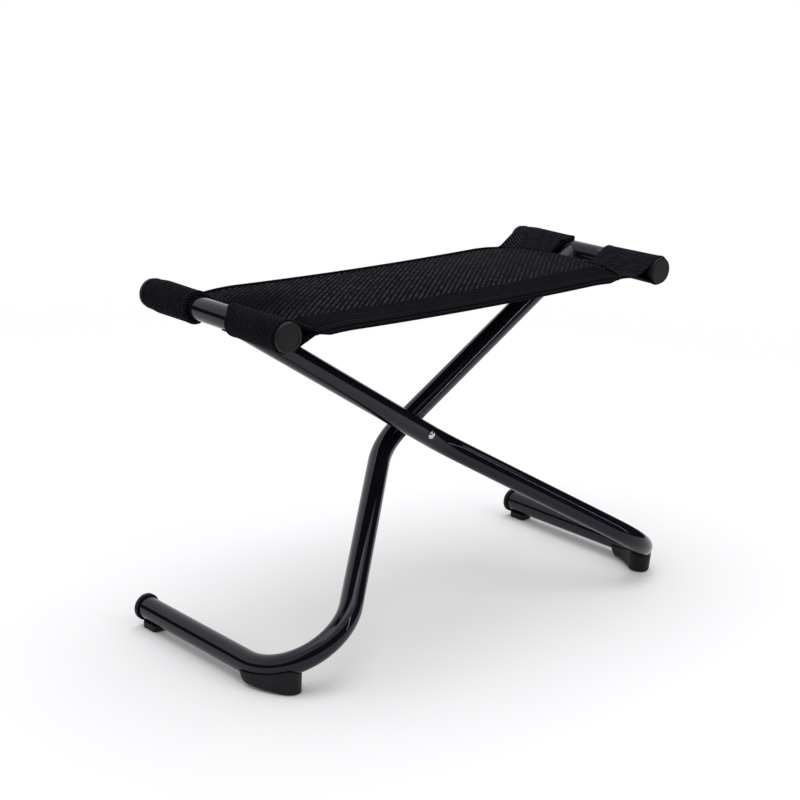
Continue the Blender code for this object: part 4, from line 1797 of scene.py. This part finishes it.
@dataclass
class EdgeBinding:
    """The folded tape that binds one long edge of the panel, with its rows of stitches."""

    shape: SeatShape
    edge: Edge
    lap: float = 0.034
    under_lap: float = 0.0125
    lift: float = 0.0012
    thickness: float = 0.0009
    corner: float = 0.0022
    flat_from: float = 0.080
    run_on: float = 0.0075
    tuck: float = 0.009
    tuck_half: float = 0.0006
    step: float = 0.0013
    fine: float = 0.0007
    rows: tuple[float, ...] = (0.007, 0.015, 0.0245, 0.0312)
    groove: float = 0.0007
    groove_width: float = 0.0011
    groove_seat: float = 0.75
    pull: float = 0.28
    sewn_from: float = 0.008
    under_step: float = 0.0014
    finish: Finish = LAP_WEBBING
    stitching: Stitching = field(default_factory=Stitching)

    @property
    def outside(self) -> float:
        """Return the distance of the tape's outer face from the middle plane."""
        return self.shape.edge_half + self.lift

    def level(self, x: float, inset: float, upper: bool) -> float:
        """Return the height of the tape's outer line over or under the panel.

        Args:
            x: The place along the edge.
            inset: The distance from the outer face.
            upper: Whether the upper lap is asked for.

        Returns:
            The height, which closes on the panel's seam where the tape tucks into the sleeve.
        """
        shape = self.shape
        y = min(self.outside - inset, self.flat_from)
        upper_skin, lower_skin = shape.faces(x, y)
        seam = (upper_skin + lower_skin) / 2
        half = (upper_skin - lower_skin) / 2 + self.lift
        end = shape.reach(shape.width / 2) + self.run_on
        half = mix(half, self.tuck_half, smooth_step(abs(x), end - self.tuck, end))
        return seam + half if upper else seam - half

    def section(self, x: float) -> list[Pair]:
        """Return the tape's outer line at one place.

        Args:
            x: The place along the edge.

        Returns:
            Distances from the middle plane and heights, from the upper lap round to the lower one.
        """
        outside = self.outside
        top, bottom = self.level(x, 0.0, True), self.level(x, 0.0, False)
        corner = min(self.corner, (top - bottom) * 0.45)
        line = []
        for inset in spread(self.lap, self.corner, self.fine):
            line.append((outside - inset, self.level(x, inset, True) - self.pressed(inset, x)))
        bend = quarter(4)[1:]
        line += [(outside - corner * (1 - s), top - corner * (1 - c)) for s, c in bend]
        for level in even(top - corner, bottom + corner, 7)[1:]:
            line.append((outside, level))
        line += [(outside - corner * (1 - c), bottom + corner * (1 - s)) for s, c in bend]
        for inset in spread(self.corner, self.under_lap, self.under_step)[1:]:
            line.append((outside - inset, self.level(x, inset, False)))
        return line

    def build(self) -> None:
        """Build the tape, press the seams into it and sew it."""
        shape = self.shape
        lay = shape.layout
        reach = shape.reach(shape.width / 2)
        places = spread(-reach - self.run_on, reach + self.run_on, self.step)
        around = lengths(self.section(0))
        rows = [[lay.at(x, self.edge.value * y, z) for y, z in self.section(x)] for x in places]
        tape = Bench.skin(f"edge_tape_{self.edge.word}", rows, around, places)
        with Bench.editing(tape):
            bpy.ops.mesh.normals_make_consistent(inside=False)
            if self.looks_in(tape):
                bpy.ops.mesh.flip_normals()
        Bench.modify(tape, "SOLIDIFY", thickness=self.thickness, offset=-1.0, use_even_offset=True)
        nodes = [f"seat_binding_{letter}_{self.edge.word}" for letter in "ab"]
        Bench.settle(tape, self.finish, Slot.WEBBING, None, *nodes, angle=radians(50))
        flat = (round(around[-1], 4), round(places[-1] - places[0], 4))
        fold(lay, tape)
        for number, inset in enumerate(self.rows, 1):
            self.sew(number, inset, reach)

    def looks_in(self, tape: Piece) -> bool:
        """Return whether the tape's outer faces, in edit mode, look towards the panel."""
        faces = bmesh.from_edit_mesh(tape.data).faces
        return sum(face.normal.y * face.calc_area() for face in faces) * self.edge.value < 0

    def pressed(self, inset: float, x: float) -> float:
        """Find how far the stitches press the upper lap in.

        Args:
            inset: The distance from the outer face.
            x: The place along the edge.

        Returns:
            The depth.
        """
        depth = 0.0
        for row in self.rows:
            away = (inset - row) / self.groove_width
            pull = 1 - self.pull + self.pull * sin(2 * pi * x / self.stitching.pitch)
            depth = max(depth, self.groove * pull * max(0.0, 1 - away * away))
        return depth

    def sew(self, number: int, inset: float, reach: float) -> None:
        """Lay one row of stitches in its groove.

        Args:
            number: The row's number.
            inset: The row's distance from the outer edge.
            reach: Half the row's length.
        """
        lay = self.shape.layout

        def seam(distance: float) -> Stance:
            """Find one place on the seam.

            Args:
                distance: How far along the seam it is.

            Returns:
                The point, the direction across and the direction up.
            """
            x = distance - reach + self.sewn_from
            height = self.level(x, inset, True) - self.groove * self.groove_seat
            place = lay.at(x, self.edge.value * (self.outside - inset), height)
            return place, Vector((0, 1, 0)), UP

        name = f"edge_stitches_{self.edge.word}_{number}"
        row = self.stitching.row(name, seam, 2 * reach - 2 * self.sewn_from)
        Bench.settle(row, THREAD, Slot.WEBBING, None)
        fold(lay, row)


@dataclass
class CornerSleeve:
    """One corner sleeve: a wide loop of cloth round the seat bar, sewn to the panel's corner."""

    shape: SeatShape
    letter: str
    side: int
    edge: Edge
    body: Body
    start: float = 0.028
    end: float = 0.0977
    tail_end: float = 0.0868
    flap: float = 0.0
    inner: float = 0.01125
    outer_gap: float = 0.0140
    outer_end: float = 0.0151
    flange: float = 0.0139
    flange_from: float = 0.0930
    flange_to: float = 0.0948
    thin: float = 0.0013
    close: float = 0.026
    close_drop: float = 0.0045
    overlap: float = 0.0085
    overlap_corner: float = 0.0022
    corner_drop: float = 0.0019
    lap_run: Pair = (0.060, 0.0855)
    flat_from: float = 0.080
    corner_run: float = 0.0032
    tape_from: float = 0.057
    tape_rise: float = 0.004
    hem: float = 0.0052
    hem_fall: Pair = (-0.0006, 0.0012)
    hem_seam: float = 0.0011
    end_hem: Pair = (0.0024, 0.0042)
    hem_edge: Pair = (-0.0004, 0.0011)
    hem_thin: float = 0.4
    hem_swell: float = 0.00035
    hem_groove: float = 0.00035
    gap: float = 0.0003
    tape: float = 0.0013
    step: float = 0.0021
    arc_steps: int = 46
    seam_inset: float = 0.0028
    seam_from: float = 0.003
    seam_to: float = 0.0745
    meet_gap: float = 0.0015
    shut_run: float = 0.006
    lap_edge: float = 0.0005
    lap_thin: float = 0.45
    ply_gap: float = 0.0001
    on_bar_from: float = 0.012
    flap_rise: Pair = (0.29, 0.75)
    flap_fall: Pair = (1.9, 2.48)
    pinch: float = 0.0
    pinch_run: float = 0.020
    finish: Finish = FINE_MESH
    stitching: Stitching = field(default_factory=lambda: Stitching(pitch=0.0036, length=0.0027))

    def cover(self, x: float, y: float, upper: bool) -> float:
        """Return the height of the overlap's inner face on the panel or on its tape.

        Args:
            x: The place from the seat's middle.
            y: The place from the legs' middle plane.
            upper: Whether the upper overlap is asked for.

        Returns:
            The height.
        """
        skin = self.shape.faces(x, min(y, self.flat_from))[0 if upper else 1]
        room = self.gap + self.tape * smooth_step(y, self.tape_from, self.tape_from + self.tape_rise)
        room -= self.corner_drop * smooth_step(y, self.tail_end - self.corner_run, self.tail_end)
        return skin + room if upper else skin - room

    def lapped(self, y: float) -> float:
        """Return how far the sleeve laps over the panel, less towards the seat's corner."""
        return mix(self.overlap, self.overlap_corner, smooth_step(y, *self.lap_run))

    def walls(self, y: float) -> Pair:
        """Find the cloth's two faces where it lies on the bar.

        Args:
            y: The place along the bar.

        Returns:
            The inner and the outer radius.
        """
        from_gap = y - self.start
        share = from_gap / (self.end - self.start)
        fall = [self.hem + step for step in self.hem_fall]
        swell = self.hem_swell * (1 - smooth_step(from_gap, *fall))
        swell += self.hem_swell * (1 - smooth_step(self.end - y, *self.end_hem))
        groove = self.hem_groove * max(0.0, 1 - ((from_gap - self.hem) / self.hem_seam) ** 2)
        inner = mix(self.inner, self.flange, smooth_step(y, self.flange_from, self.flange_to))
        pinched = self.pinch * smooth_step(y, self.end - self.pinch_run, self.end)
        return inner, mix(self.outer_gap, self.outer_end, share) + swell - groove - pinched

    def path(self, share: float) -> list[Cut]:
        """Return the middle line of the loop at one place along the bar.

        Args:
            share: The share of the way from the gap to the outer end.

        Returns:
            Distance towards the seat's middle, height over the bar's axis, thickness and angle round the
            bar, from the upper overlap round the bar to the lower one.
        """
        shape = self.shape
        lay = shape.layout
        y = mix(self.start, self.tail_end, share)
        tail = lay.bar_reach - shape.reach(y)
        seam = shape.seam(y) - lay.bar_height
        inner, outer = self.walls(mix(self.start, self.end, share))
        thick = outer - inner
        radius = (outer + inner) / 2
        meet = min(self.close, tail - self.meet_gap)
        shut = mix(seam, -self.close_drop, min((tail - meet) / self.shut_run, 1.0))
        lap = tail + self.lapped(y)

        def run(upper: bool) -> list[Cut]:
            """Lay one overlap and the cloth on to where both close.

            Args:
                upper: Whether the upper overlap is asked for.

            Returns:
                Points from the overlap's edge inwards.
            """
            sign = 1 if upper else -1
            line = []
            for u in even(lap, tail + self.lap_edge, LAP_POINTS):
                level = self.cover(lay.bar_reach - u, y, upper) - lay.bar_height
                outwards = smooth_step(u, tail + 2 * self.lap_edge, lap)
                thin = self.thin * mix(1.0, self.lap_thin, outwards)
                line.append((u, level + sign * thin / 2, thin, 0.0))
            for u in even(mix(tail, meet, 0.15), meet, 8):
                level = mix(shut, seam, smooth_step(u, meet, tail))
                line.append((u, level + sign * (self.thin / 2 + self.ply_gap), self.thin, 0.0))
            return line

        upper = run(True)
        lower = run(False)
        turns = []
        for u, v, *_ in (upper[-1], lower[-1]):
            turns.append((atan2(v, u), acos(min(1.0, radius / hypot(u, v)))))
        first = turns[0][0] + turns[0][1]
        last = 2 * pi + turns[1][0] - turns[1][1]
        arc = []
        for turn in even(first, last, self.arc_steps):
            arc.append((radius * cos(turn), radius * sin(turn), thick, turn))
        line = upper + self.straight(upper[-1], arc[0], thick) + arc
        line += self.straight(lower[-1], arc[-1], thick)[::-1]
        return self.soften(line + lower[::-1])

    def straight(self, start: Cut, end: Cut, thick: float) -> list[Cut]:
        """Return points between the closed seam and the bar.

        Args:
            start: The seam.
            end: Where the cloth touches the round of the bar.
            thick: The cloth's thickness on the bar.

        Returns:
            Points between the two, without them.
        """
        line = []
        for share in even(0.0, 1.0, 8)[1:-1]:
            swell = mix(self.thin, thick, share**0.5)
            line.append((mix(start[0], end[0], share), mix(start[1], end[1], share), swell, 0.0))
        return line

    @staticmethod
    def soften(path: list[Cut]) -> list[Cut]:
        """Ease a path's corners.

        Args:
            path: The path.

        Returns:
            The eased path, with its ends and the round of the bar kept.
        """
        line = list(path)
        for _ in range(3):
            eased = list(line)
            for i in range(1, len(line) - 1):
                if line[i][3] and line[i - 1][3] and line[i + 1][3]:
                    continue
                near = zip(line[i - 1][:3], line[i][:3], line[i + 1][:3])
                eased[i] = (*((a + 2 * b + c) / 4 for a, b, c in near), line[i][3])
            line = eased
        return line

    def ring(self, share: float, swell: float) -> list[Vector]:
        """Return one closed section of the cloth.

        Args:
            share: The share of the way from the gap to the outer end.
            swell: The share of the full thickness, less at a hem.

        Returns:
            Points over the outer face and back along the inner one.
        """
        lay = self.shape.layout
        path = self.path(share)
        tail = path[LAP_POINTS - 1][0]
        outer = []
        inner = []
        for i, (u, v, thick, turn) in enumerate(path):
            before = path[max(i - 1, 0)]
            after = path[min(i + 1, len(path) - 1)]
            du, dv = after[0] - before[0], after[1] - before[1]
            size = hypot(du, dv)
            nu, nv = dv / size, -du / size
            half = thick / 2
            face = half * (2 * swell - 1)
            on_bar = min(max((tail - u) / (tail - self.on_bar_from), 0.0), 1.0)
            place = mix(self.start, mix(self.tail_end, self.end, on_bar), share)
            if turn:
                over = smooth_step(turn, *self.flap_rise) * (1 - smooth_step(turn, *self.flap_fall))
                place -= self.flap * over * (1 - share)
            x = lay.bar_reach - u
            y = self.edge.value * place
            outer.append(lay.at(self.side * (x - nu * face), y, lay.bar_height + v + nv * face))
            inner.append(lay.at(self.side * (x + nu * half), y, lay.bar_height + v - nv * half))
        return outer + inner[::-1]

    def places(self) -> list[float]:
        """Choose the places of the rings along the bar.

        Returns:
            The places, closer at the hems and over the cap.
        """
        gap = [0.0, 0.0004, 0.0012, 0.0026, 0.0039, 0.0046, 0.0052, 0.0058, 0.0066, 0.0078]
        end = [0.0, 0.0004, 0.0012, 0.0022, 0.0027, 0.0032, 0.0037, 0.0042, 0.0047, 0.0062]
        low = [self.start + step for step in gap]
        high = [self.end - step for step in reversed(end)]
        return low + spread(low[-1], high[0], self.step)[1:-1] + high

    def build(self) -> None:
        """Build, dress and sew the sleeve."""
        places = self.places()
        rings = []
        for place in places:
            edge = min(place - self.start, self.end - place)
            share = (place - self.start) / (self.end - self.start)
            swell = mix(self.hem_thin, 1.0, smooth_step(edge, *self.hem_edge))
            rings.append(self.ring(share, swell))
        sleeve = Bench.roll(f"sleeve_{self.letter}_{self.edge.word}", rings, places)
        node = f"seat_sleeve_{self.letter}_{self.edge.word}"
        Bench.settle(sleeve, self.finish, Slot.WEBBING, self.body, node, angle=radians(50))
        length = lengths([cut[:2] for cut in self.path(0.5)])[-1]
        flat = (round(self.end - self.start, 4), round(length, 4))
        self.sew()

    def sew(self) -> None:
        """Sew the overlap to the panel's end."""
        shape = self.shape
        lay = shape.layout
        first = self.start + self.seam_from

        def seam(distance: float) -> Stance:
            """Find one place on the seam.

            Args:
                distance: How far along the seam it is.

            Returns:
                The point, the direction across and the direction up.
            """
            y = first + distance
            x = shape.reach(y) - self.lapped(y) + self.seam_inset
            z = self.cover(x, y, True) + self.thin
            ahead = shape.reach(y + 0.0005) - shape.reach(y - 0.0005)
            run = Vector((self.side * ahead, self.edge.value * 0.001, 0)).normalized()
            return lay.at(self.side * x, self.edge.value * y, z), UP.cross(run), UP

        name = f"sleeve_stitches_{self.letter}_{self.edge.word}"
        row = self.stitching.row(name, seam, self.seam_to - first)
        Bench.settle(row, THREAD, Slot.WEBBING, self.body)


@dataclass(frozen=True)
class AreaLight:
    """A rectangular light: where it hangs, what it looks at, its two sizes, watts and colour."""

    name: str
    place: Place
    target: Place
    size: Pair
    power: float
    colour: Colour

    def hang(self) -> None:
        """Add the light to the scene."""
        light = bpy.data.lights.new(self.name, "AREA")
        light.shape = "RECTANGLE"
        light.size, light.size_y = self.size
        light.energy = self.power
        light.color = self.colour
        lamp = bpy.data.objects.new(self.name, light)
        lamp.location = self.place
        look = Vector(self.target) - Vector(self.place)
        lamp.rotation_euler = look.to_track_quat("-Z", "Y").to_euler()
        bpy.context.scene.collection.objects.link(lamp)


OVERHEAD = AreaLight(
    name="overhead",
    place=(0.0, 0.25, 2.2),
    target=(0.0, 0.02, 0.2),
    size=(2.4, 2.0),
    power=24.0,
    colour=(0.95, 0.96, 1.0),
)
STRIP = AreaLight(
    name="strip",
    place=(1.0, -1.9, 1.15),
    target=(0.1, -0.05, 0.15),
    size=(0.05, 1.7),
    power=4.5,
    colour=(1.0, 1.0, 1.0),
)


@dataclass
class Studio:
    """The pale floor, the soft lights, the dark cards that shape the gloss, and the camera."""

    layout: Layout
    ambient: float = 0.74
    floor_size: float = 60.0
    floor_drop: float = 0.0004
    natural: float = 0.55
    endless: float = 1.5
    wall_distance: float = 4.0
    wall_from: int = 122
    wall_to: int = 385
    wall_step: int = 3
    wall_rise: Pair = (20, 42)
    wall_climb: Pair = (180, 215)
    lens: float = 78.026
    sensor: float = 36.0
    camera_place: Place = (-1.1492, -1.1957, 0.6947)
    camera_right: Place = (0.7342437, -0.67770254, 0.04006828)
    camera_up: Place = (0.16422871, 0.23457826, 0.95812419)

    def build(self) -> None:
        """Set the stage."""
        self.light_world()
        self.lay_floor()
        for light in (OVERHEAD, STRIP):
            light.hang()
        self.stand_cards()
        self.aim_camera()
        bpy.context.scene.view_settings.view_transform = "Standard"

    def light_world(self) -> None:
        """Surround the stool with white that lights it softly and shows in full behind it."""
        world = bpy.data.worlds.new("studio")
        bpy.context.scene.world = world
        graph = Graph(world)
        strength = graph.seen() * (1 - self.ambient) + self.ambient
        back = graph.node("ShaderNodeBackground", None, {"Color": WHITE, "Strength": strength})
        graph.node("ShaderNodeOutputWorld", None, {"Surface": back["Background"]})

    def lay_floor(self) -> None:
        """Lay the pale floor, white to the camera where no shadow falls."""
        grid = bpy.ops.mesh.primitive_grid_add
        ground = Bench.add(grid, "floor", x_subdivisions=8, y_subdivisions=8, size=self.floor_size)
        ground.data.transform(Matrix.Translation((0, 0, -self.floor_drop)))
        material = bpy.data.materials.new("pale_floor")
        graph = Graph(material)
        place = graph.place()
        speckle = graph.noise(place, 0.4, 2.0)
        colour = graph.tint(speckle, (0.94, 0.94, 0.94), (0.96, 0.96, 0.96))
        matt = graph.node("ShaderNodeBsdfDiffuse", None, {"Color": colour})
        glow = graph.node("ShaderNodeEmission", None, {"Color": WHITE, "Strength": 1.0})
        away = graph.node("ShaderNodeVectorMath", {"operation": "LENGTH"}, {0: place})["Value"]
        share = graph.seen() * away.rise(self.natural, self.endless)
        mixed = graph.node("ShaderNodeMixShader", None, {0: share, 1: matt["BSDF"], 2: glow["Emission"]})
        graph.node("ShaderNodeOutputMaterial", None, {"Surface": mixed["Shader"]})
        ground.data.materials.append(material)

    def stand_cards(self) -> None:
        """Stand a dark wall round the front and the sides, which only reflections see."""
        material = bpy.data.materials.new("dark_card")
        graph = Graph(material)
        weave = graph.noise(graph.place(), 0.1, 2.0)
        colour = graph.tint(weave, (0.01, 0.01, 0.012), (0.014, 0.014, 0.017))
        felt = graph.node("ShaderNodeBsdfDiffuse", None, {"Color": colour})
        graph.node("ShaderNodeOutputMaterial", None, {"Surface": felt["BSDF"]})
        base, crest = [], []
        for degrees in range(self.wall_from, self.wall_to + 1, self.wall_step):
            turn = radians(degrees)
            rise = radians(mix(*self.wall_rise, smooth_step(degrees, *self.wall_climb)))
            foot = Vector((cos(turn), sin(turn), 0)) * self.wall_distance
            base.append(foot)
            crest.append(foot + Vector((0, 0, self.wall_distance * tan(rise))))
        wall = Bench.skin("dark_wall", [base, crest])
        wall.data.materials.append(material)
        for rays in ("camera", "diffuse", "shadow", "transmission"):
            setattr(wall, f"visible_{rays}", False)

    def aim_camera(self) -> None:
        """Put the camera where the photograph was taken from."""
        camera = bpy.data.cameras.new("photo_view")
        camera.lens = self.lens
        camera.sensor_width = self.sensor
        camera.sensor_fit = "HORIZONTAL"
        holder = bpy.data.objects.new("photo_view", camera)
        right, up = Vector(self.camera_right), Vector(self.camera_up)
        turn = Matrix((right, up, right.cross(up))).transposed().to_4x4()
        holder.matrix_world = Matrix.Translation(self.layout.at(*self.camera_place)) @ turn
        bpy.context.scene.collection.objects.link(holder)
        bpy.context.scene.camera = holder


FRAME_A_BEND = {"bend_reach": 0.1722, "saddle_from": -0.001, "saddle_to": 0.0425}
FRAME_B_BEND = {"bend_reach": 0.181}
FAR_TAPE = {"lap": 0.005, "rows": (0.0032,), "finish": WEBBING}
LEG_SIDE_SLEEVE = {"start": 0.0288, "flap": 0.0068, "close": 0.060}
FAR_SLEEVE = {"end": 0.0956, "outer_gap": 0.0152, "outer_end": 0.0157, "pinch": 0.0016}
NEAR_B_SLEEVE = {"end": 0.0995}
TAPE_MARGIN = 0.003


def sleeve_cut(edge: Edge, side: int) -> dict[str, Any]:
    """Return how one corner sleeve differs from the plain one.

    Args:
        edge: The long side that it lies on.
        side: The sign of X at its bar.

    Returns:
        Fields of CornerSleeve.
    """
    # sleeves on bar B take the lighter copy of their cloth, which is painted light
    cut: dict[str, Any] = {"finish": LIT_B_MESH} if side > 0 else {}
    if side == edge.value:
        cut |= LEG_SIDE_SLEEVE
    if edge is Edge.FAR:
        cut |= FAR_SLEEVE
    elif side > 0:
        cut |= NEAR_B_SLEEVE
    return cut


def main() -> None:
    """Build every piece, then the stage."""
    logging.basicConfig(level=logging.INFO, format="%(name)s %(message)s")
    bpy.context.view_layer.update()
    layout = Layout.read()
    TubeFrame(layout, "a", -1, Body.FRAME_A, **FRAME_A_BEND).build()
    TubeFrame(layout, "b", 1, Body.FRAME_B, **FRAME_B_BEND).build()
    Pivot(layout).build()
    shape = SeatShape(layout)
    SeatPanel(shape).build()
    for edge in Edge:
        tape = EdgeBinding(shape, edge, **(FAR_TAPE if edge is Edge.FAR else {}))
        tape.build()
        tape_from = tape.outside - tape.lap - TAPE_MARGIN
        for letter, side, body in (("a", -1, Body.SEAT_A), ("b", 1, Body.SEAT_B)):
            cut = sleeve_cut(edge, side)
            CornerSleeve(shape, letter, side, edge, body, tape_from=tape_from, **cut).build()
    Studio(layout).build()


if __name__ == "__main__":
    main()
